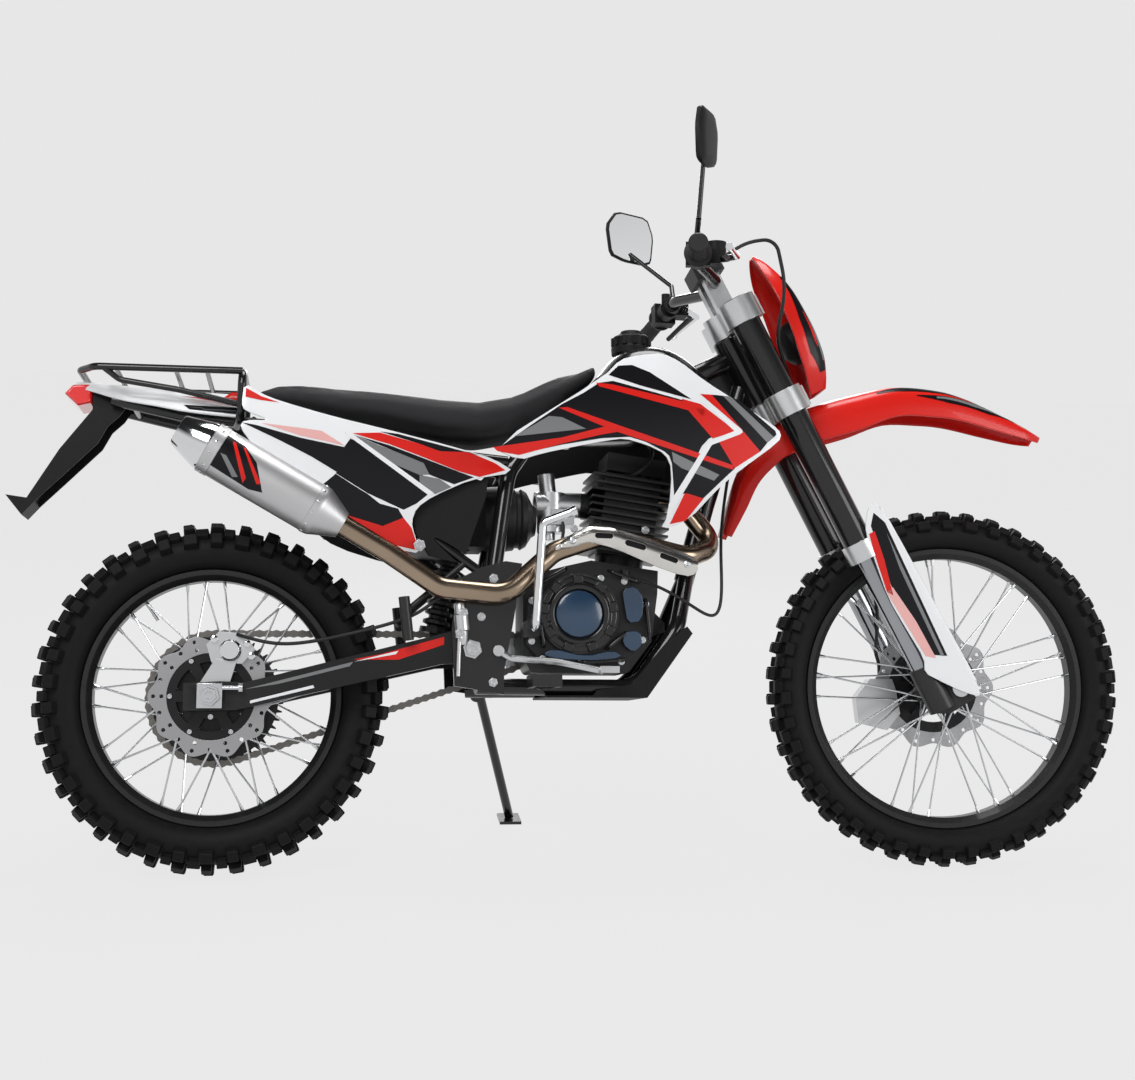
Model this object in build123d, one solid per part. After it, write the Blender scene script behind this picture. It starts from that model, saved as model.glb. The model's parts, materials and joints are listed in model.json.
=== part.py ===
from build123d import *
import os
from math import asin, atan2, cos, degrees, hypot, pi, radians, sin, tan

# A light enduro motorcycle, parked on its side stand.
# The pieces are drawn upright in the bike's own frame: X forward, Y left, Z up, in millimetres.
# X is 0 at the standard rear axle. The steered pieces are then turned about the steering axis,
# and the whole bike leans to the left onto its stand.

# Stance
WHEELBASE = 1387.0
LEAN = 14.0
STEER = -5.5
RAKE = 27.0
CLAMP_OFFSET = 22.0
STEER_STOP = 42.0
AXLE_LEAD = 42.0

# Wheels
FRONT_RADIUS = 343.0
FRONT_WIDTH = 86.0
FRONT_RIM = 268.0
FRONT_RIM_WIDTH = 50.0
FRONT_LUG = 12.0
REAR_RADIUS = 319.0
REAR_WIDTH = 104.0
REAR_RIM = 231.0
REAR_RIM_WIDTH = 62.0
REAR_LUG = 14.0
RIM_LIP = 8.0
RIM_DEPTH = 19.0
SPOKE_RADIUS = 1.8
SPOKES_PER_SIDE = 18
FRONT_AXLE_RADIUS = 8.0
REAR_AXLE_RADIUS = 9.0
RUNNING_FIT = 0.05

# Fork
LEG_Y = 105.0
OUTER_TUBE = 28.0
INNER_TUBE = 21.5
OUTER_BOTTOM = 297.0
OUTER_TOP = 844.0
LOWER_CLAMP = 623.0
UPPER_CLAMP = 818.0
CLAMP_HALF = 24.0
HEAD_TUBE = 31.0
STEM_RADIUS = 14.0
FOOT_TOP = 66.0

# Handlebar
BAR_RADIUS = 11.0
BAR_HALF = 400.0
BAR_RISE = 80.0
BAR_SETBACK = 4.0
GRIP_LENGTH = 120.0
GRIP_RADIUS = 16.5

# Brakes and chain
FRONT_DISC = 122.0
REAR_DISC = 111.0
DISC_THICKNESS = 4.0
DISC_GAP = 3.0
FRONT_DISC_Y = 62.0
REAR_DISC_Y = -66.0
CHAIN_Y = 68.0
CHAIN_PITCH = 15.875
CHAIN_WIDTH = 14.0
REAR_TEETH = 48
ENGINE_TEETH = 13
SPROCKET_THICKNESS = 6.0

# Frame
BACKBONE = 20.0
DOWN_TUBE = 19.0
CRADLE_TUBE = 15.0
CRADLE_Y = 78.0
PLATE_Y = 109.0
PLATE_THICKNESS = 10.0
PIVOT_BOLT = 8.0
ARM_IN = 81.0
ARM_OUT = 107.0
RAIL = 10.0
SHOCK = 26.0

# Engine and exhaust
CYLINDER_TILT = 8.0
CYLINDER_BORE = 46.0
FIN_PITCH = 14.0
FIN_COUNT = 11
HEADER = 19.0
CAN_RADIUS = 46.0
EXHAUST_GAP = 5.0

# Bodywork
TUNNEL_GAP = 7.0
CAP_RADIUS = 36.0
PANEL_WALL = 4.0
FENDER_WALL = 3.0
SEAT_GAP = 0.3

SIDES = (-1, 1)
LOW = (Align.CENTER, Align.CENTER, Align.MIN)
pieces = {}


# Shared shapes


def keep(name, *solids):
    """Collect the solids of one node, all in the bike's frame."""
    pieces[name] = Compound([s for shape in solids for s in shape.solids()])


def rod(start, end, radius):
    """A straight round bar between two points."""
    start, end = Vector(*start), Vector(*end)
    base = Plane(origin=start, z_dir=end - start)
    return base * Cylinder(radius, (end - start).length, align=LOW)


def tube(points, radius, bends):
    """A bent round bar: straight runs joined by tangent arcs, one radius for each corner."""
    path = FilletPolyline(*points, radius=bends)
    return sweep(Plane(origin=path @ 0, z_dir=path % 0) * Circle(radius), path=path)


def hose(name, points, radius):
    """A held cable: each corner's arc is as large as its two runs allow."""
    corners = [Vector(*p) for p in points]
    bends = []
    for before, here, after in zip(corners, corners[1:], corners[2:]):
        turn = radians((here - before).get_angle(after - here))
        shorter = min((here - before).length, (after - here).length)
        bends.append(0.45 * shorter / tan(turn / 2))
    print(name, "bend radii", [round(b) for b in bends])
    solid = tube(points, radius, bends)
    length = FilletPolyline(*points, radius=bends).length
    print(name, "length", round(length), "volume ratio", round(solid.volume / (pi * radius**2 * length), 4))
    return solid


def plate(outline, near, far):
    """A flat piece: an outline given in X and Z, between two values of Y."""
    base = Plane(origin=(0, max(near, far), 0), x_dir=(1, 0, 0), z_dir=(0, -1, 0))
    return extrude(base * make_face(Polyline(*outline, close=True)), amount=abs(far - near))


def both(shape):
    """A piece and its mirror image on the other side of the bike."""
    return [shape, mirror(shape, about=Plane.XZ)]


def cyl_y(radius, near, far, centre=(0, 0)):
    """A disc or bar about an axis along Y, centred on an X and Z."""
    width = abs(far - near)
    return Pos(centre[0], (near + far) / 2, centre[1]) * Rot(90, 0, 0) * Cylinder(radius, width)


def ring_y(outer, inner, near, far, centre=(0, 0)):
    """A ring about an axis along Y."""
    return cyl_y(outer, near, far, centre) - cyl_y(inner, near - 1, far + 1, centre)


def skin(outline, outer_y, bulge, crown_z, yaw, pivot_x):
    """A moulded panel: an outline cut from a gently curved wall on the right side."""
    across = 4000.0
    shell = Cylinder(bulge, across) - Cylinder(bulge - PANEL_WALL, across)
    shell = Pos(pivot_x, outer_y + bulge, crown_z) * Rot(0, 0, yaw) * Rot(0, 90, 0) * shell
    return plate(outline, outer_y - 200, outer_y + 130) & shell


def trough(base, half, depth, wall=FENDER_WALL):
    """One cross-section of a fender or mask: a channel that opens away from the plane's Y."""
    outer = [(half, -depth), (half * 0.84, -depth * 0.2), (half * 0.45, 0)]
    inner = [(a - wall, b - (wall if b > -depth else 0)) for a, b in outer]
    loop = outer + [(-a, b) for a, b in reversed(outer)]
    loop += [(-a, b) for a, b in inner] + list(reversed(inner))
    return base * make_face(Polyline(*loop, close=True))


def block(x, half, low, high, round_by):
    """One rounded cross-section of the tank or the seat."""
    height = high - low
    base = Plane(origin=(x, 0, (low + high) / 2), x_dir=(0, 1, 0), z_dir=(1, 0, 0))
    return base * RectangleRounded(2 * half, height, min(half, height / 2) * round_by)


# Steering geometry: s runs up the fork from the front axle, q forward of the fork's centre line
SIN, COS = sin(radians(RAKE)), cos(radians(RAKE))
FRONT_AXLE = (1387.0, 351.0)
REAR_AXLE = (FRONT_AXLE[0] - WHEELBASE, 326.0)
STEM_Q = -CLAMP_OFFSET


def fork(s, q, y):
    """A point given along the fork, forward of it, and to the left."""
    forward = q - AXLE_LEAD
    return (FRONT_AXLE[0] - s * SIN + forward * COS, y, FRONT_AXLE[1] + s * COS + forward * SIN)


def fork_plane(s, q=0.0, y=0.0):
    """A plane square to the fork, with its X forward."""
    return Plane(origin=fork(s, q, y), x_dir=(COS, 0, SIN), z_dir=(-SIN, 0, COS))


def fork_plate(outline, near, far):
    """A flat piece whose outline is given in s and q."""
    points = [fork(s, q, 0) for s, q in outline]
    return plate([(x, z) for x, _, z in points], near, far)


# Wheels


def tyre(radius, width, rim_radius, rim_width, lug, pitches):
    """A knobbly tyre of flat facets: at each pitch a row of three lugs, then a bare stretch."""
    tread = radius - lug
    half = width / 2
    rise = tread - rim_radius
    bead = rim_width / 2 - 5.3
    shoulder_reach = 0.7 * lug
    # radius, half width, from the bead to the crown
    side = [
        (rim_radius - RIM_LIP + SEAT_GAP, bead),
        (rim_radius + 2, bead),
        (rim_radius + 0.45 * rise, half - shoulder_reach * 0.5),
        (rim_radius + 0.76 * rise, half - shoulder_reach),
        (rim_radius + 0.95 * rise, half * 0.56),
        (tread, half * 0.32),
    ]
    casing = [(y, r) for r, y in side] + [(-y, r) for r, y in reversed(side)]
    shoulder = len(side) - 3
    crown = len(side) - 1
    tops = {}
    for start in (shoulder, crown, 2 * len(side) - 2 - shoulder):
        (ya, ra), (yb, rb) = casing[start], casing[start + 1]
        run = hypot(yb - ya, rb - ra)
        reach = lug if start == crown else shoulder_reach
        out_y, out_r = (rb - ra) / run * reach, (ya - yb) / run * reach
        tops[start] = [(ya + (yb - ya) * along + out_y, ra + (rb - ra) * along + out_r) for along in (0.08, 0.92)]
    arm = 0.25 * 2 * pi * tread / pitches

    def at(pitch, x, point):
        """A point of the tyre: beside a pitch's middle, at a half width and a radius."""
        turn = 2 * pi * pitch / pitches
        y, r = point
        return Vector(x * cos(turn) + r * sin(turn), y, r * cos(turn) - x * sin(turn))

    faces = []

    def add(*corners):
        """One flat facet."""
        faces.append(Face(Wire.make_polygon(list(corners), close=True)))

    for k in range(pitches):
        row = []
        for i, point in enumerate(casing):
            row += [point, *tops.get(i, [])]
        for a, b in zip(row, row[1:] + row[:1]):
            add(at(k, -arm, a), at(k, arm, a), at(k, arm, b), at(k, -arm, b))
        for a, b in zip(casing, casing[1:] + casing[:1]):
            add(at(k, arm, a), at(k + 1, -arm, a), at(k + 1, -arm, b), at(k, arm, b))
        for i, (low, high) in tops.items():
            for x in (-arm, arm):
                add(*[at(k, x, p) for p in (casing[i], low, high, casing[i + 1])])
    return Solid(Shell(faces))


def rim(radius, width):
    """A dropped-centre rim with a flange each side."""
    half = width / 2
    low = radius - RIM_DEPTH
    # distance from the middle, radius
    outer = [(half, radius), (half - 3, radius), (half - 5, radius - RIM_LIP), (half * 0.5, low + 3)]
    inner = [(-half, radius - 9), (-half * 0.6, low), (half * 0.6, low), (half, radius - 9)]
    loop = [*outer, *[(-a, b) for a, b in reversed(outer)], *inner]
    return Rot(0, 0, 90) * revolve(make_face(Polyline(*loop, close=True)), Axis.X, 360)


def spokes(rim_radius, flange_radius, flange_y):
    """Crossed spokes, half of them outside each flange and half inside."""
    made = []
    step = 360.0 / SPOKES_PER_SIDE
    cross = 62.0
    splay = 6.0
    for side, centre_y in flange_y.items():
        for k in range(SPOKES_PER_SIDE):
            lead = 1 if k % 2 else -1
            turn = k * step + (step / 2 if side > 0 else 0)
            at_hub = radians(turn + lead * cross / 2)
            at_rim = radians(turn - lead * splay)
            reach = rim_radius - RIM_DEPTH + 1.5
            y_hub = centre_y + lead * 4.0 * side
            y_rim = side * (splay + lead * 2.5)
            start = Vector(flange_radius * cos(at_hub), y_hub, flange_radius * sin(at_hub))
            end = Vector(reach * cos(at_rim), y_rim, reach * sin(at_rim))
            base = Plane(origin=start, z_dir=end - start)
            made.append(extrude(base * RegularPolygon(SPOKE_RADIUS, 6), amount=(end - start).length))
    return made


def hub(flange_radius, flange_y, barrel, ends, bore):
    """A spool with two flanges and a waisted barrel, bored for its axle."""
    half = []
    # for each side: distance along the axle, radius
    for way, flange, end in ((1, flange_y[-1], ends[0]), (-1, flange_y[1], ends[1])):
        outside, inside = flange - 4 * way, flange + 3 * way
        half.append([(end, bore + RUNNING_FIT), (end, bore + 9), (outside, bore + 12), (outside, flange_radius + 6),
                     (inside, flange_radius + 6), (flange + 12 * way, barrel + 4)])
    middle = ((flange_y[-1] + flange_y[1]) / 2, barrel - 4)
    loop = [*half[0], middle, *reversed(half[1])]
    return Rot(0, 0, 90) * revolve(make_face(Polyline(*loop, close=True)), Axis.X, 360)


def wavy_disc(radius, centre_y, bore, waves=10):
    """A brake disc with a scalloped edge and windows in its carrier."""
    face = Circle(radius) - Circle(bore)
    bite = radius * 0.15
    for k in range(waves):
        face -= Rot(0, 0, 360.0 * k / waves) * Pos(radius + bite * 0.6, 0) * Circle(bite)
    arms = 5
    for k in range(arms):
        window = Trapezoid(radius * 0.42, radius * 0.26, 66)
        face -= Rot(0, 0, 360.0 * k / arms) * Pos(radius * 0.56, 0) * Rot(0, 0, 90) * window
    return Pos(0, centre_y + DISC_THICKNESS / 2, 0) * Rot(90, 0, 0) * extrude(face, amount=DISC_THICKNESS)


def toothed(teeth, bore, thickness, centre_y):
    """A chain sprocket with straight-sided teeth."""
    pitch_radius = CHAIN_PITCH / (2 * sin(pi / teeth))
    root, tip = pitch_radius - 5.2, pitch_radius + 4.0
    # share of the pitch, radius
    tooth = [(0.28, root), (0.43, tip), (0.57, tip), (0.72, root)]
    points = []
    for k in range(teeth):
        for share, r in tooth:
            turn = 2 * pi * (k + share) / teeth
            points.append((r * cos(turn), r * sin(turn)))
    face = make_face(Polyline(*points, close=True)) - Circle(bore)
    return Pos(0, centre_y + thickness / 2, 0) * Rot(90, 0, 0) * extrude(face, amount=thickness)


def at_axle(axle, *shapes):
    """Carry a wheel's pieces to its axle."""
    return [Pos(axle[0], 0, axle[1]) * s for s in shapes]


FRONT_FLANGES = {-1: -30.0, 1: 34.0}
REAR_FLANGES = {-1: -38.0, 1: 34.0}
FRONT_FLANGE_RADIUS = 40.0
REAR_FLANGE_RADIUS = 58.0
FRONT_HUB = (-48.0, 56.0)
REAR_HUB = (-60.0, 52.0)
FRONT_BARREL = 24.0
REAR_BARREL = 30.0
FRONT_PITCHES = 30
REAR_PITCHES = 28
DISC_BORE = 24.5

rear_tyre = tyre(REAR_RADIUS, REAR_WIDTH, REAR_RIM, REAR_RIM_WIDTH, REAR_LUG, REAR_PITCHES)
keep("rear_tyre", *at_axle(REAR_AXLE, rear_tyre))
keep("rear_rim", *at_axle(REAR_AXLE, rim(REAR_RIM, REAR_RIM_WIDTH)))
keep("rear_spokes", *at_axle(REAR_AXLE, *spokes(REAR_RIM, REAR_FLANGE_RADIUS, REAR_FLANGES)))
rear_hub = hub(REAR_FLANGE_RADIUS, REAR_FLANGES, REAR_BARREL, REAR_HUB, REAR_AXLE_RADIUS)
keep("rear_hub", *at_axle(REAR_AXLE, rear_hub))
keep("rear_disc", *at_axle(REAR_AXLE, wavy_disc(REAR_DISC, REAR_DISC_Y, DISC_BORE)
                           + ring_y(DISC_BORE + 8, DISC_BORE - 3, REAR_DISC_Y, REAR_FLANGES[-1] - 4)))
sprocket = toothed(REAR_TEETH, 34, SPROCKET_THICKNESS, CHAIN_Y)
for k in range(6):
    sprocket -= Rot(0, 60 * k, 0) * cyl_y(17, CHAIN_Y - 9, CHAIN_Y + 9, (78, 0))
sprocket += ring_y(44, REAR_AXLE_RADIUS + 13, REAR_FLANGES[1] + 4, CHAIN_Y - SPROCKET_THICKNESS / 2)
keep("rear_sprocket", *at_axle(REAR_AXLE, sprocket))

front_tyre = tyre(FRONT_RADIUS, FRONT_WIDTH, FRONT_RIM, FRONT_RIM_WIDTH, FRONT_LUG, FRONT_PITCHES)
keep("front_tyre", *at_axle(FRONT_AXLE, front_tyre))
keep("front_rim", *at_axle(FRONT_AXLE, rim(FRONT_RIM, FRONT_RIM_WIDTH)))
keep("front_spokes", *at_axle(FRONT_AXLE, *spokes(FRONT_RIM, FRONT_FLANGE_RADIUS, FRONT_FLANGES)))
front_hub = hub(FRONT_FLANGE_RADIUS, FRONT_FLANGES, FRONT_BARREL, FRONT_HUB, FRONT_AXLE_RADIUS)
keep("front_hub", *at_axle(FRONT_AXLE, front_hub))
keep("front_disc", *at_axle(FRONT_AXLE, wavy_disc(FRONT_DISC, FRONT_DISC_Y, DISC_BORE)
                            + ring_y(DISC_BORE + 8, DISC_BORE - 3, FRONT_FLANGES[1] + 4, FRONT_DISC_Y)))

# The floor: both tyres touch it when the bike is steered and leaned
steer_plane = fork_plane(0, STEM_Q)
turned = steer_plane.location * Rot(0, 0, STEER) * steer_plane.location.inverse()
leaned = Rot(-LEAN, 0, 0)


def lowest(shape):
    """How low a piece reaches once the bike leans."""
    return (leaned * shape).bounding_box().min.Z


nose = degrees(atan2(lowest(turned * pieces["front_tyre"]) - lowest(pieces["rear_tyre"]), WHEELBASE))
tipped = Rot(0, nose, 0) * leaned
ground = Pos(0, 0, -(tipped * pieces["rear_tyre"]).bounding_box().min.Z) * tipped


def world(x, y, z):
    """Where a point of the upright bike lies once it leans on its stand."""
    return (ground * Pos(x, y, z)).position


def above_floor(x, y, height):
    """The point of the upright bike's frame at an X and Y that lies at a height over the floor."""
    low, high = world(x, y, 0).Z, world(x, y, 1).Z
    return Vector(x, y, (height - low) / (high - low))


# Fork and clamps

PINCH_WIDE = 20.0


def clamp(s):
    """A fork clamp: two split rings, the waisted bridge that joins them and the stem's boss."""
    height = 2 * CLAMP_HALF
    base = fork_plane(s - CLAMP_HALF)
    body = base * Box(52, 2 * LEG_Y, height, align=LOW)
    body -= base * Pos(26, 0, -1) * Cylinder(18, height + 2, align=LOW)
    body += fork_plane(s - CLAMP_HALF, STEM_Q) * Cylinder(HEAD_TUBE - 2, height, align=LOW)
    for side in SIDES:
        body += base * Pos(0, side * LEG_Y, 0) * Cylinder(OUTER_TUBE + 9, height, align=LOW)
        pinch = Pos(OUTER_TUBE + 8, side * (LEG_Y - 24), 4) * Box(PINCH_WIDE, 16, height - 8, align=LOW)
        body += base * pinch
        body -= base * Pos(0, side * LEG_Y, -1) * Cylinder(OUTER_TUBE, height + 2, align=LOW)
    return body


BAR_S = UPPER_CLAMP + BAR_RISE
stem = rod(fork(LOWER_CLAMP, STEM_Q, 0), fork(UPPER_CLAMP, STEM_Q, 0), STEM_RADIUS)
rest = fork_plane(UPPER_CLAMP + CLAMP_HALF, -BAR_SETBACK)
riser_height = BAR_S - UPPER_CLAMP - CLAMP_HALF + BAR_RADIUS + 5
risers = [rest * Pos(0, side * 30, 0) * Box(34, 26, riser_height, align=LOW) for side in SIDES]
bar_bore = rod(fork(BAR_S, -BAR_SETBACK, -90), fork(BAR_S, -BAR_SETBACK, 90), BAR_RADIUS)
keep("triple_clamps", clamp(LOWER_CLAMP) + stem + clamp(UPPER_CLAMP) + risers - bar_bore)
keep("fork_tubes", *[rod(fork(OUTER_BOTTOM, 0, y), fork(OUTER_TOP, 0, y), OUTER_TUBE)
                     - rod(fork(OUTER_BOTTOM - 1, 0, y), fork(OUTER_TOP - 60, 0, y), INNER_TUBE)
                     for y in (-LEG_Y, LEG_Y)])
keep("fork_stanchions", *[rod(fork(FOOT_TOP - 40, 0, y), fork(OUTER_TOP - 60, 0, y), INNER_TUBE)
                          for y in (-LEG_Y, LEG_Y)])

CALIPER_OUT = LEG_Y - 26.0
foot_outline = [(-34, 6), (-30, AXLE_LEAD + 20), (26, AXLE_LEAD + 20), (50, 14), (50, -10), (-22, -20)]
# the front caliper's outline, from the axle
caliper_outline = [(-152, -70), (-96, -84), (-70, -52), (-78, -6), (-86, 16), (-130, 16), (-158, -20)]
# the arm of the left foot that carries the caliper, from the axle
mount_outline = [(-112, -64), (-20, -52), (-20, 20), (-60, 30), (-112, -10)]


def from_axle(outline, axle):
    """An outline given from an axle, in the bike's frame."""
    return [(axle[0] + x, axle[1] + z) for x, z in outline]


def fork_foot(side):
    """The casting at a leg's lower end, which carries the axle ahead of the leg."""
    y = side * LEG_Y
    body = rod(fork(-22, 0, y), fork(FOOT_TOP, 0, y), INNER_TUBE + 5)
    body += fork_plate(foot_outline, y - 15, y + 15)
    if side > 0:
        body += plate(from_axle(mount_outline, FRONT_AXLE), CALIPER_OUT, LEG_Y - 10)
    body -= rod(fork(FOOT_TOP - 40, 0, y), fork(FOOT_TOP + 1, 0, y), INNER_TUBE)
    return body - cyl_y(FRONT_AXLE_RADIUS, y - 60, y + 60, FRONT_AXLE)


keep("fork_feet", *[fork_foot(side) for side in SIDES])
keep("front_axle", cyl_y(FRONT_AXLE_RADIUS, -LEG_Y - 22, LEG_Y + 22, FRONT_AXLE)
     + ring_y(16, 4, -LEG_Y - 26, -LEG_Y - 15.5, FRONT_AXLE)
     + ring_y(16, 4, LEG_Y + 15.5, LEG_Y + 24, FRONT_AXLE))

caliper = plate(from_axle(caliper_outline, FRONT_AXLE), FRONT_DISC_Y - 18, CALIPER_OUT)
caliper -= cyl_y(FRONT_DISC + DISC_GAP, FRONT_DISC_Y - 5, FRONT_DISC_Y + 5, FRONT_AXLE)
keep("front_caliper", caliper)

GUARD_OUT = 26.0
GUARD_WALL = 4.0
# s, q
guard_outline = [(337, 60), (327, 32), (304, 26), (286, 6), (120, 3), (70, 8), (20, 40), (-28, 66), (-8, 84),
                 (60, 76), (230, 66)]
wing_outline = [(337, 60), (230, 66), (60, 76), (60, 72), (230, 62), (333, 56)]
BRACKET_LOW = OUTER_BOTTOM - 4
BRACKET_HEIGHT = 36.0


def fork_guard(side):
    """A guard on a leg: a face beside the leg and a wing round its front."""
    inner = side * (LEG_Y + GUARD_OUT)
    face = fork_plate(guard_outline, inner, inner + side * GUARD_WALL)
    return face + fork_plate(wing_outline, inner + side, side * (LEG_Y - 4))


def guard_bracket(side):
    """The bright band round a leg's lower end, with the lug that the guard is screwed to."""
    y = side * LEG_Y
    band = fork_plane(BRACKET_LOW, 0, y) * Cylinder(OUTER_TUBE + 6, BRACKET_HEIGHT, align=LOW)
    lug = fork_plane(BRACKET_LOW + 4, 14, side * (LEG_Y + 14)) * Box(30, 2 * (GUARD_OUT - 14), 20, align=LOW)
    return band + lug - fork_plane(BRACKET_LOW - 1, 0, y) * Cylinder(OUTER_TUBE, BRACKET_HEIGHT + 2, align=LOW)


keep("fork_guards", *[fork_guard(side) for side in SIDES])
keep("guard_brackets", *[guard_bracket(side) for side in SIDES])

# Handlebar and what it carries

bar_centre = Vector(*fork(BAR_S, -BAR_SETBACK, 0))


def bar_points(side):
    """Half of the handlebar's line, from its middle to its end."""
    return [
        tuple(bar_centre),
        (bar_centre.X, side * 62, bar_centre.Z),
        (bar_centre.X - 50, side * 165, bar_centre.Z + 9),
        (bar_centre.X - 82, side * BAR_HALF, bar_centre.Z - 14),
    ]


right, left = bar_points(-1), bar_points(1)
keep("handlebar", tube([*reversed(right[1:]), *left[1:]], BAR_RADIUS, [60, 40, 40, 60]))


def bar_frame(side, inset):
    """A plane square to the outer part of the bar, at a distance in from its end, X forward."""
    inner, outer = Vector(*bar_points(side)[2]), Vector(*bar_points(side)[3])
    along = (outer - inner).normalized()
    forward = Vector(1, 0, 0) - along * along.X
    return Plane(origin=outer - along * inset, x_dir=forward, z_dir=along)


SWITCH_WIDE = 34.0
PERCH_INSET = GRIP_LENGTH + 72.0
PERCH_WIDE = 30.0
LEVER = 5.0
MIRROR_BOSS = 9.0
MIRROR_STEM = 6.0
MASTER_FORWARD = 30.0


def grip(side):
    """A rubber grip with its flange, over the bar's end."""
    body = Cylinder(GRIP_RADIUS, GRIP_LENGTH + 4, align=LOW) + Cylinder(26, 5, align=LOW)
    body -= Pos(0, 0, -1) * Cylinder(BAR_RADIUS, GRIP_LENGTH + 1, align=LOW)
    return bar_frame(side, GRIP_LENGTH) * body


def boss_top(side):
    """Where a mirror's stem stands on its perch."""
    foot = bar_frame(side, PERCH_INSET - PERCH_WIDE / 2).origin
    return Vector(foot.X - 4, foot.Y, foot.Z + 34)


def bar_control(side):
    """The switch housing, the lever's perch, the lever and the mirror's boss of one side."""
    foot = bar_frame(side, PERCH_INSET - PERCH_WIDE / 2).origin
    housing = bar_frame(side, GRIP_LENGTH + SWITCH_WIDE + 2) * Box(44, 42, SWITCH_WIDE, align=LOW)
    perch = bar_frame(side, PERCH_INSET) * (Cylinder(19, PERCH_WIDE + 8, align=LOW)
                                           + Pos(24, 0, 0) * Box(34, 26, PERCH_WIDE + 8, align=LOW))
    boss = rod((foot.X - 4, foot.Y, foot.Z + 8), tuple(boss_top(side)), MIRROR_BOSS)
    tip = bar_frame(side, 18).origin
    lever = tube([(foot.X + 26, foot.Y - side * 14, foot.Z), (foot.X + 52, foot.Y + side * 26, foot.Z - 8),
                  (tip.X + 42, tip.Y, tip.Z - 14)], LEVER, [18])
    body = housing + perch + boss + lever
    if side < 0:
        body += bar_frame(side, PERCH_INSET + 22) * Pos(MASTER_FORWARD, 0, 0) * Cylinder(11, 60, align=LOW)
        body += Pos(foot.X + 34, foot.Y + 4, foot.Z + 6) * Cylinder(19, 24, align=LOW)
    return body - bar_frame(side, PERCH_INSET + 30) * Cylinder(BAR_RADIUS, PERCH_INSET + 30, align=LOW)


keep("grips", *[grip(side) for side in SIDES])
keep("controls", *[bar_control(side) for side in SIDES])
keep("bar_pad", rest * Pos(0, 0, riser_height) * extrude(RectangleRounded(58, 124, 12), amount=30))

# the mirror glass's outline, with the stem's end at its origin
mirror_outline = [(-50, -10), (-58, 40), (-46, 78), (30, 88), (54, 60), (48, -2), (16, -14), (-34, -18)]
# side, stem's elbow, stem's end, turn of the head
mirror_rows = [(-1, (876, -266, 1196), (884, -276, 1306), 66), (1, (893, 266, 1194), (806, 284, 1266), 205)]


def mirror_piece(side, elbow, end, turn):
    """A mirror: a bent stem and a shallow shell."""
    foot = boss_top(side)
    up = (foot.X, foot.Y, foot.Z + 14)
    stem_line = rod(tuple(foot), up, MIRROR_BOSS - 2) + rod((foot.X, foot.Y, foot.Z + 6), elbow, MIRROR_STEM)
    stem_line += rod(elbow, end, MIRROR_STEM - 1.5) + Pos(*elbow) * Sphere(MIRROR_STEM)
    face = make_face(Polyline(*mirror_outline, close=True))
    shell = loft([face, Pos(0, 20, 12) * scale(Pos(0, -20, 0) * face, 0.8)])
    return stem_line + Pos(*end) * Rot(0, 0, turn) * Rot(90, 0, 0) * shell


keep("mirrors", *[mirror_piece(*row) for row in mirror_rows])

# Headlight mask, lamp and front fender

LAMP_S = 728.0
LAMP_RADIUS = 46.0
LAMP_GAP = 3.0
SHELF_HALF = 28.0
# s, q of the front, half width, depth
mask_rows = [(622, 97, 66, 48), (672, 115, 86, 70), (740, 121, 92, 74), (800, 121, 88, 72), (872, 111, 68, 50),
             (912, 98, 42, 30)]


def mask_section(s, q, half, depth):
    """One cross-section of the headlight mask, square to the fork and open towards it."""
    base = Plane(origin=fork(s, q, 0), x_dir=(0, 1, 0), z_dir=(SIN, 0, -COS))
    return trough(base, half, depth)


mask = loft([mask_section(*row) for row in reversed(mask_rows)], ruled=True)
lamp_base = fork_plane(LAMP_S, 66)
lamp_axis = lamp_base * Rot(0, 90, 0)
lamp_body = lamp_axis * Cylinder(LAMP_RADIUS, 54, align=LOW) - lamp_axis * Pos(0, 0, 66) * Sphere(28)
shelf = fork_plate([(LAMP_S - 66, 26), (LAMP_S - 56, 26), (LAMP_S - 56, 112), (LAMP_S - 66, 112)],
                   -SHELF_HALF, SHELF_HALF)
arm_plate = fork_plate([(LOWER_CLAMP + CLAMP_HALF, 20), (LOWER_CLAMP + CLAMP_HALF, 30), (LAMP_S - 58, 30),
                        (LAMP_S - 58, 20)], -SHELF_HALF, SHELF_HALF)
mask += shelf + arm_plate
keep("headlight_mask", mask - lamp_axis * Cylinder(LAMP_RADIUS + LAMP_GAP, 100, align=LOW))
keep("headlight", lamp_body + lamp_axis * Pos(0, 0, -12) * Cylinder(LAMP_RADIUS - 12, 13, align=LOW)
     + fork_plane(LAMP_S - 56, 80) * Cylinder(10, 14, align=LOW))

# x, z of the crown, half width, depth of the sides, slope of the crown in degrees
fender_rows = [(952, 643, 38, 20, 74), (986, 757, 50, 40, 66), (1046, 846, 58, 60, 40),
               (1140, 897, 64, 72, 18), (1204, 916, 66, 72, 12), (1288, 934, 66, 62, 3),
               (1373, 928, 62, 60, -10), (1478, 892, 54, 44, -21), (1583, 841, 36, 8, -27)]


def fender_section(x, z, half, depth, slope):
    """One cross-section of the front fender, square to its crown."""
    lean = radians(slope)
    base = Plane(origin=(x, 0, z), x_dir=(0, 1, 0), z_dir=(cos(lean), 0, sin(lean)))
    return trough(base, half, depth)


fender = loft([fender_section(*row) for row in fender_rows], ruled=True)
clamp_low = LOWER_CLAMP - CLAMP_HALF
fender += fork_plate([(clamp_low, -20), (clamp_low, 24), (clamp_low - 14, 24), (clamp_low - 14, -20)], -26, 26)
keep("front_fender", fender)

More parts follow.
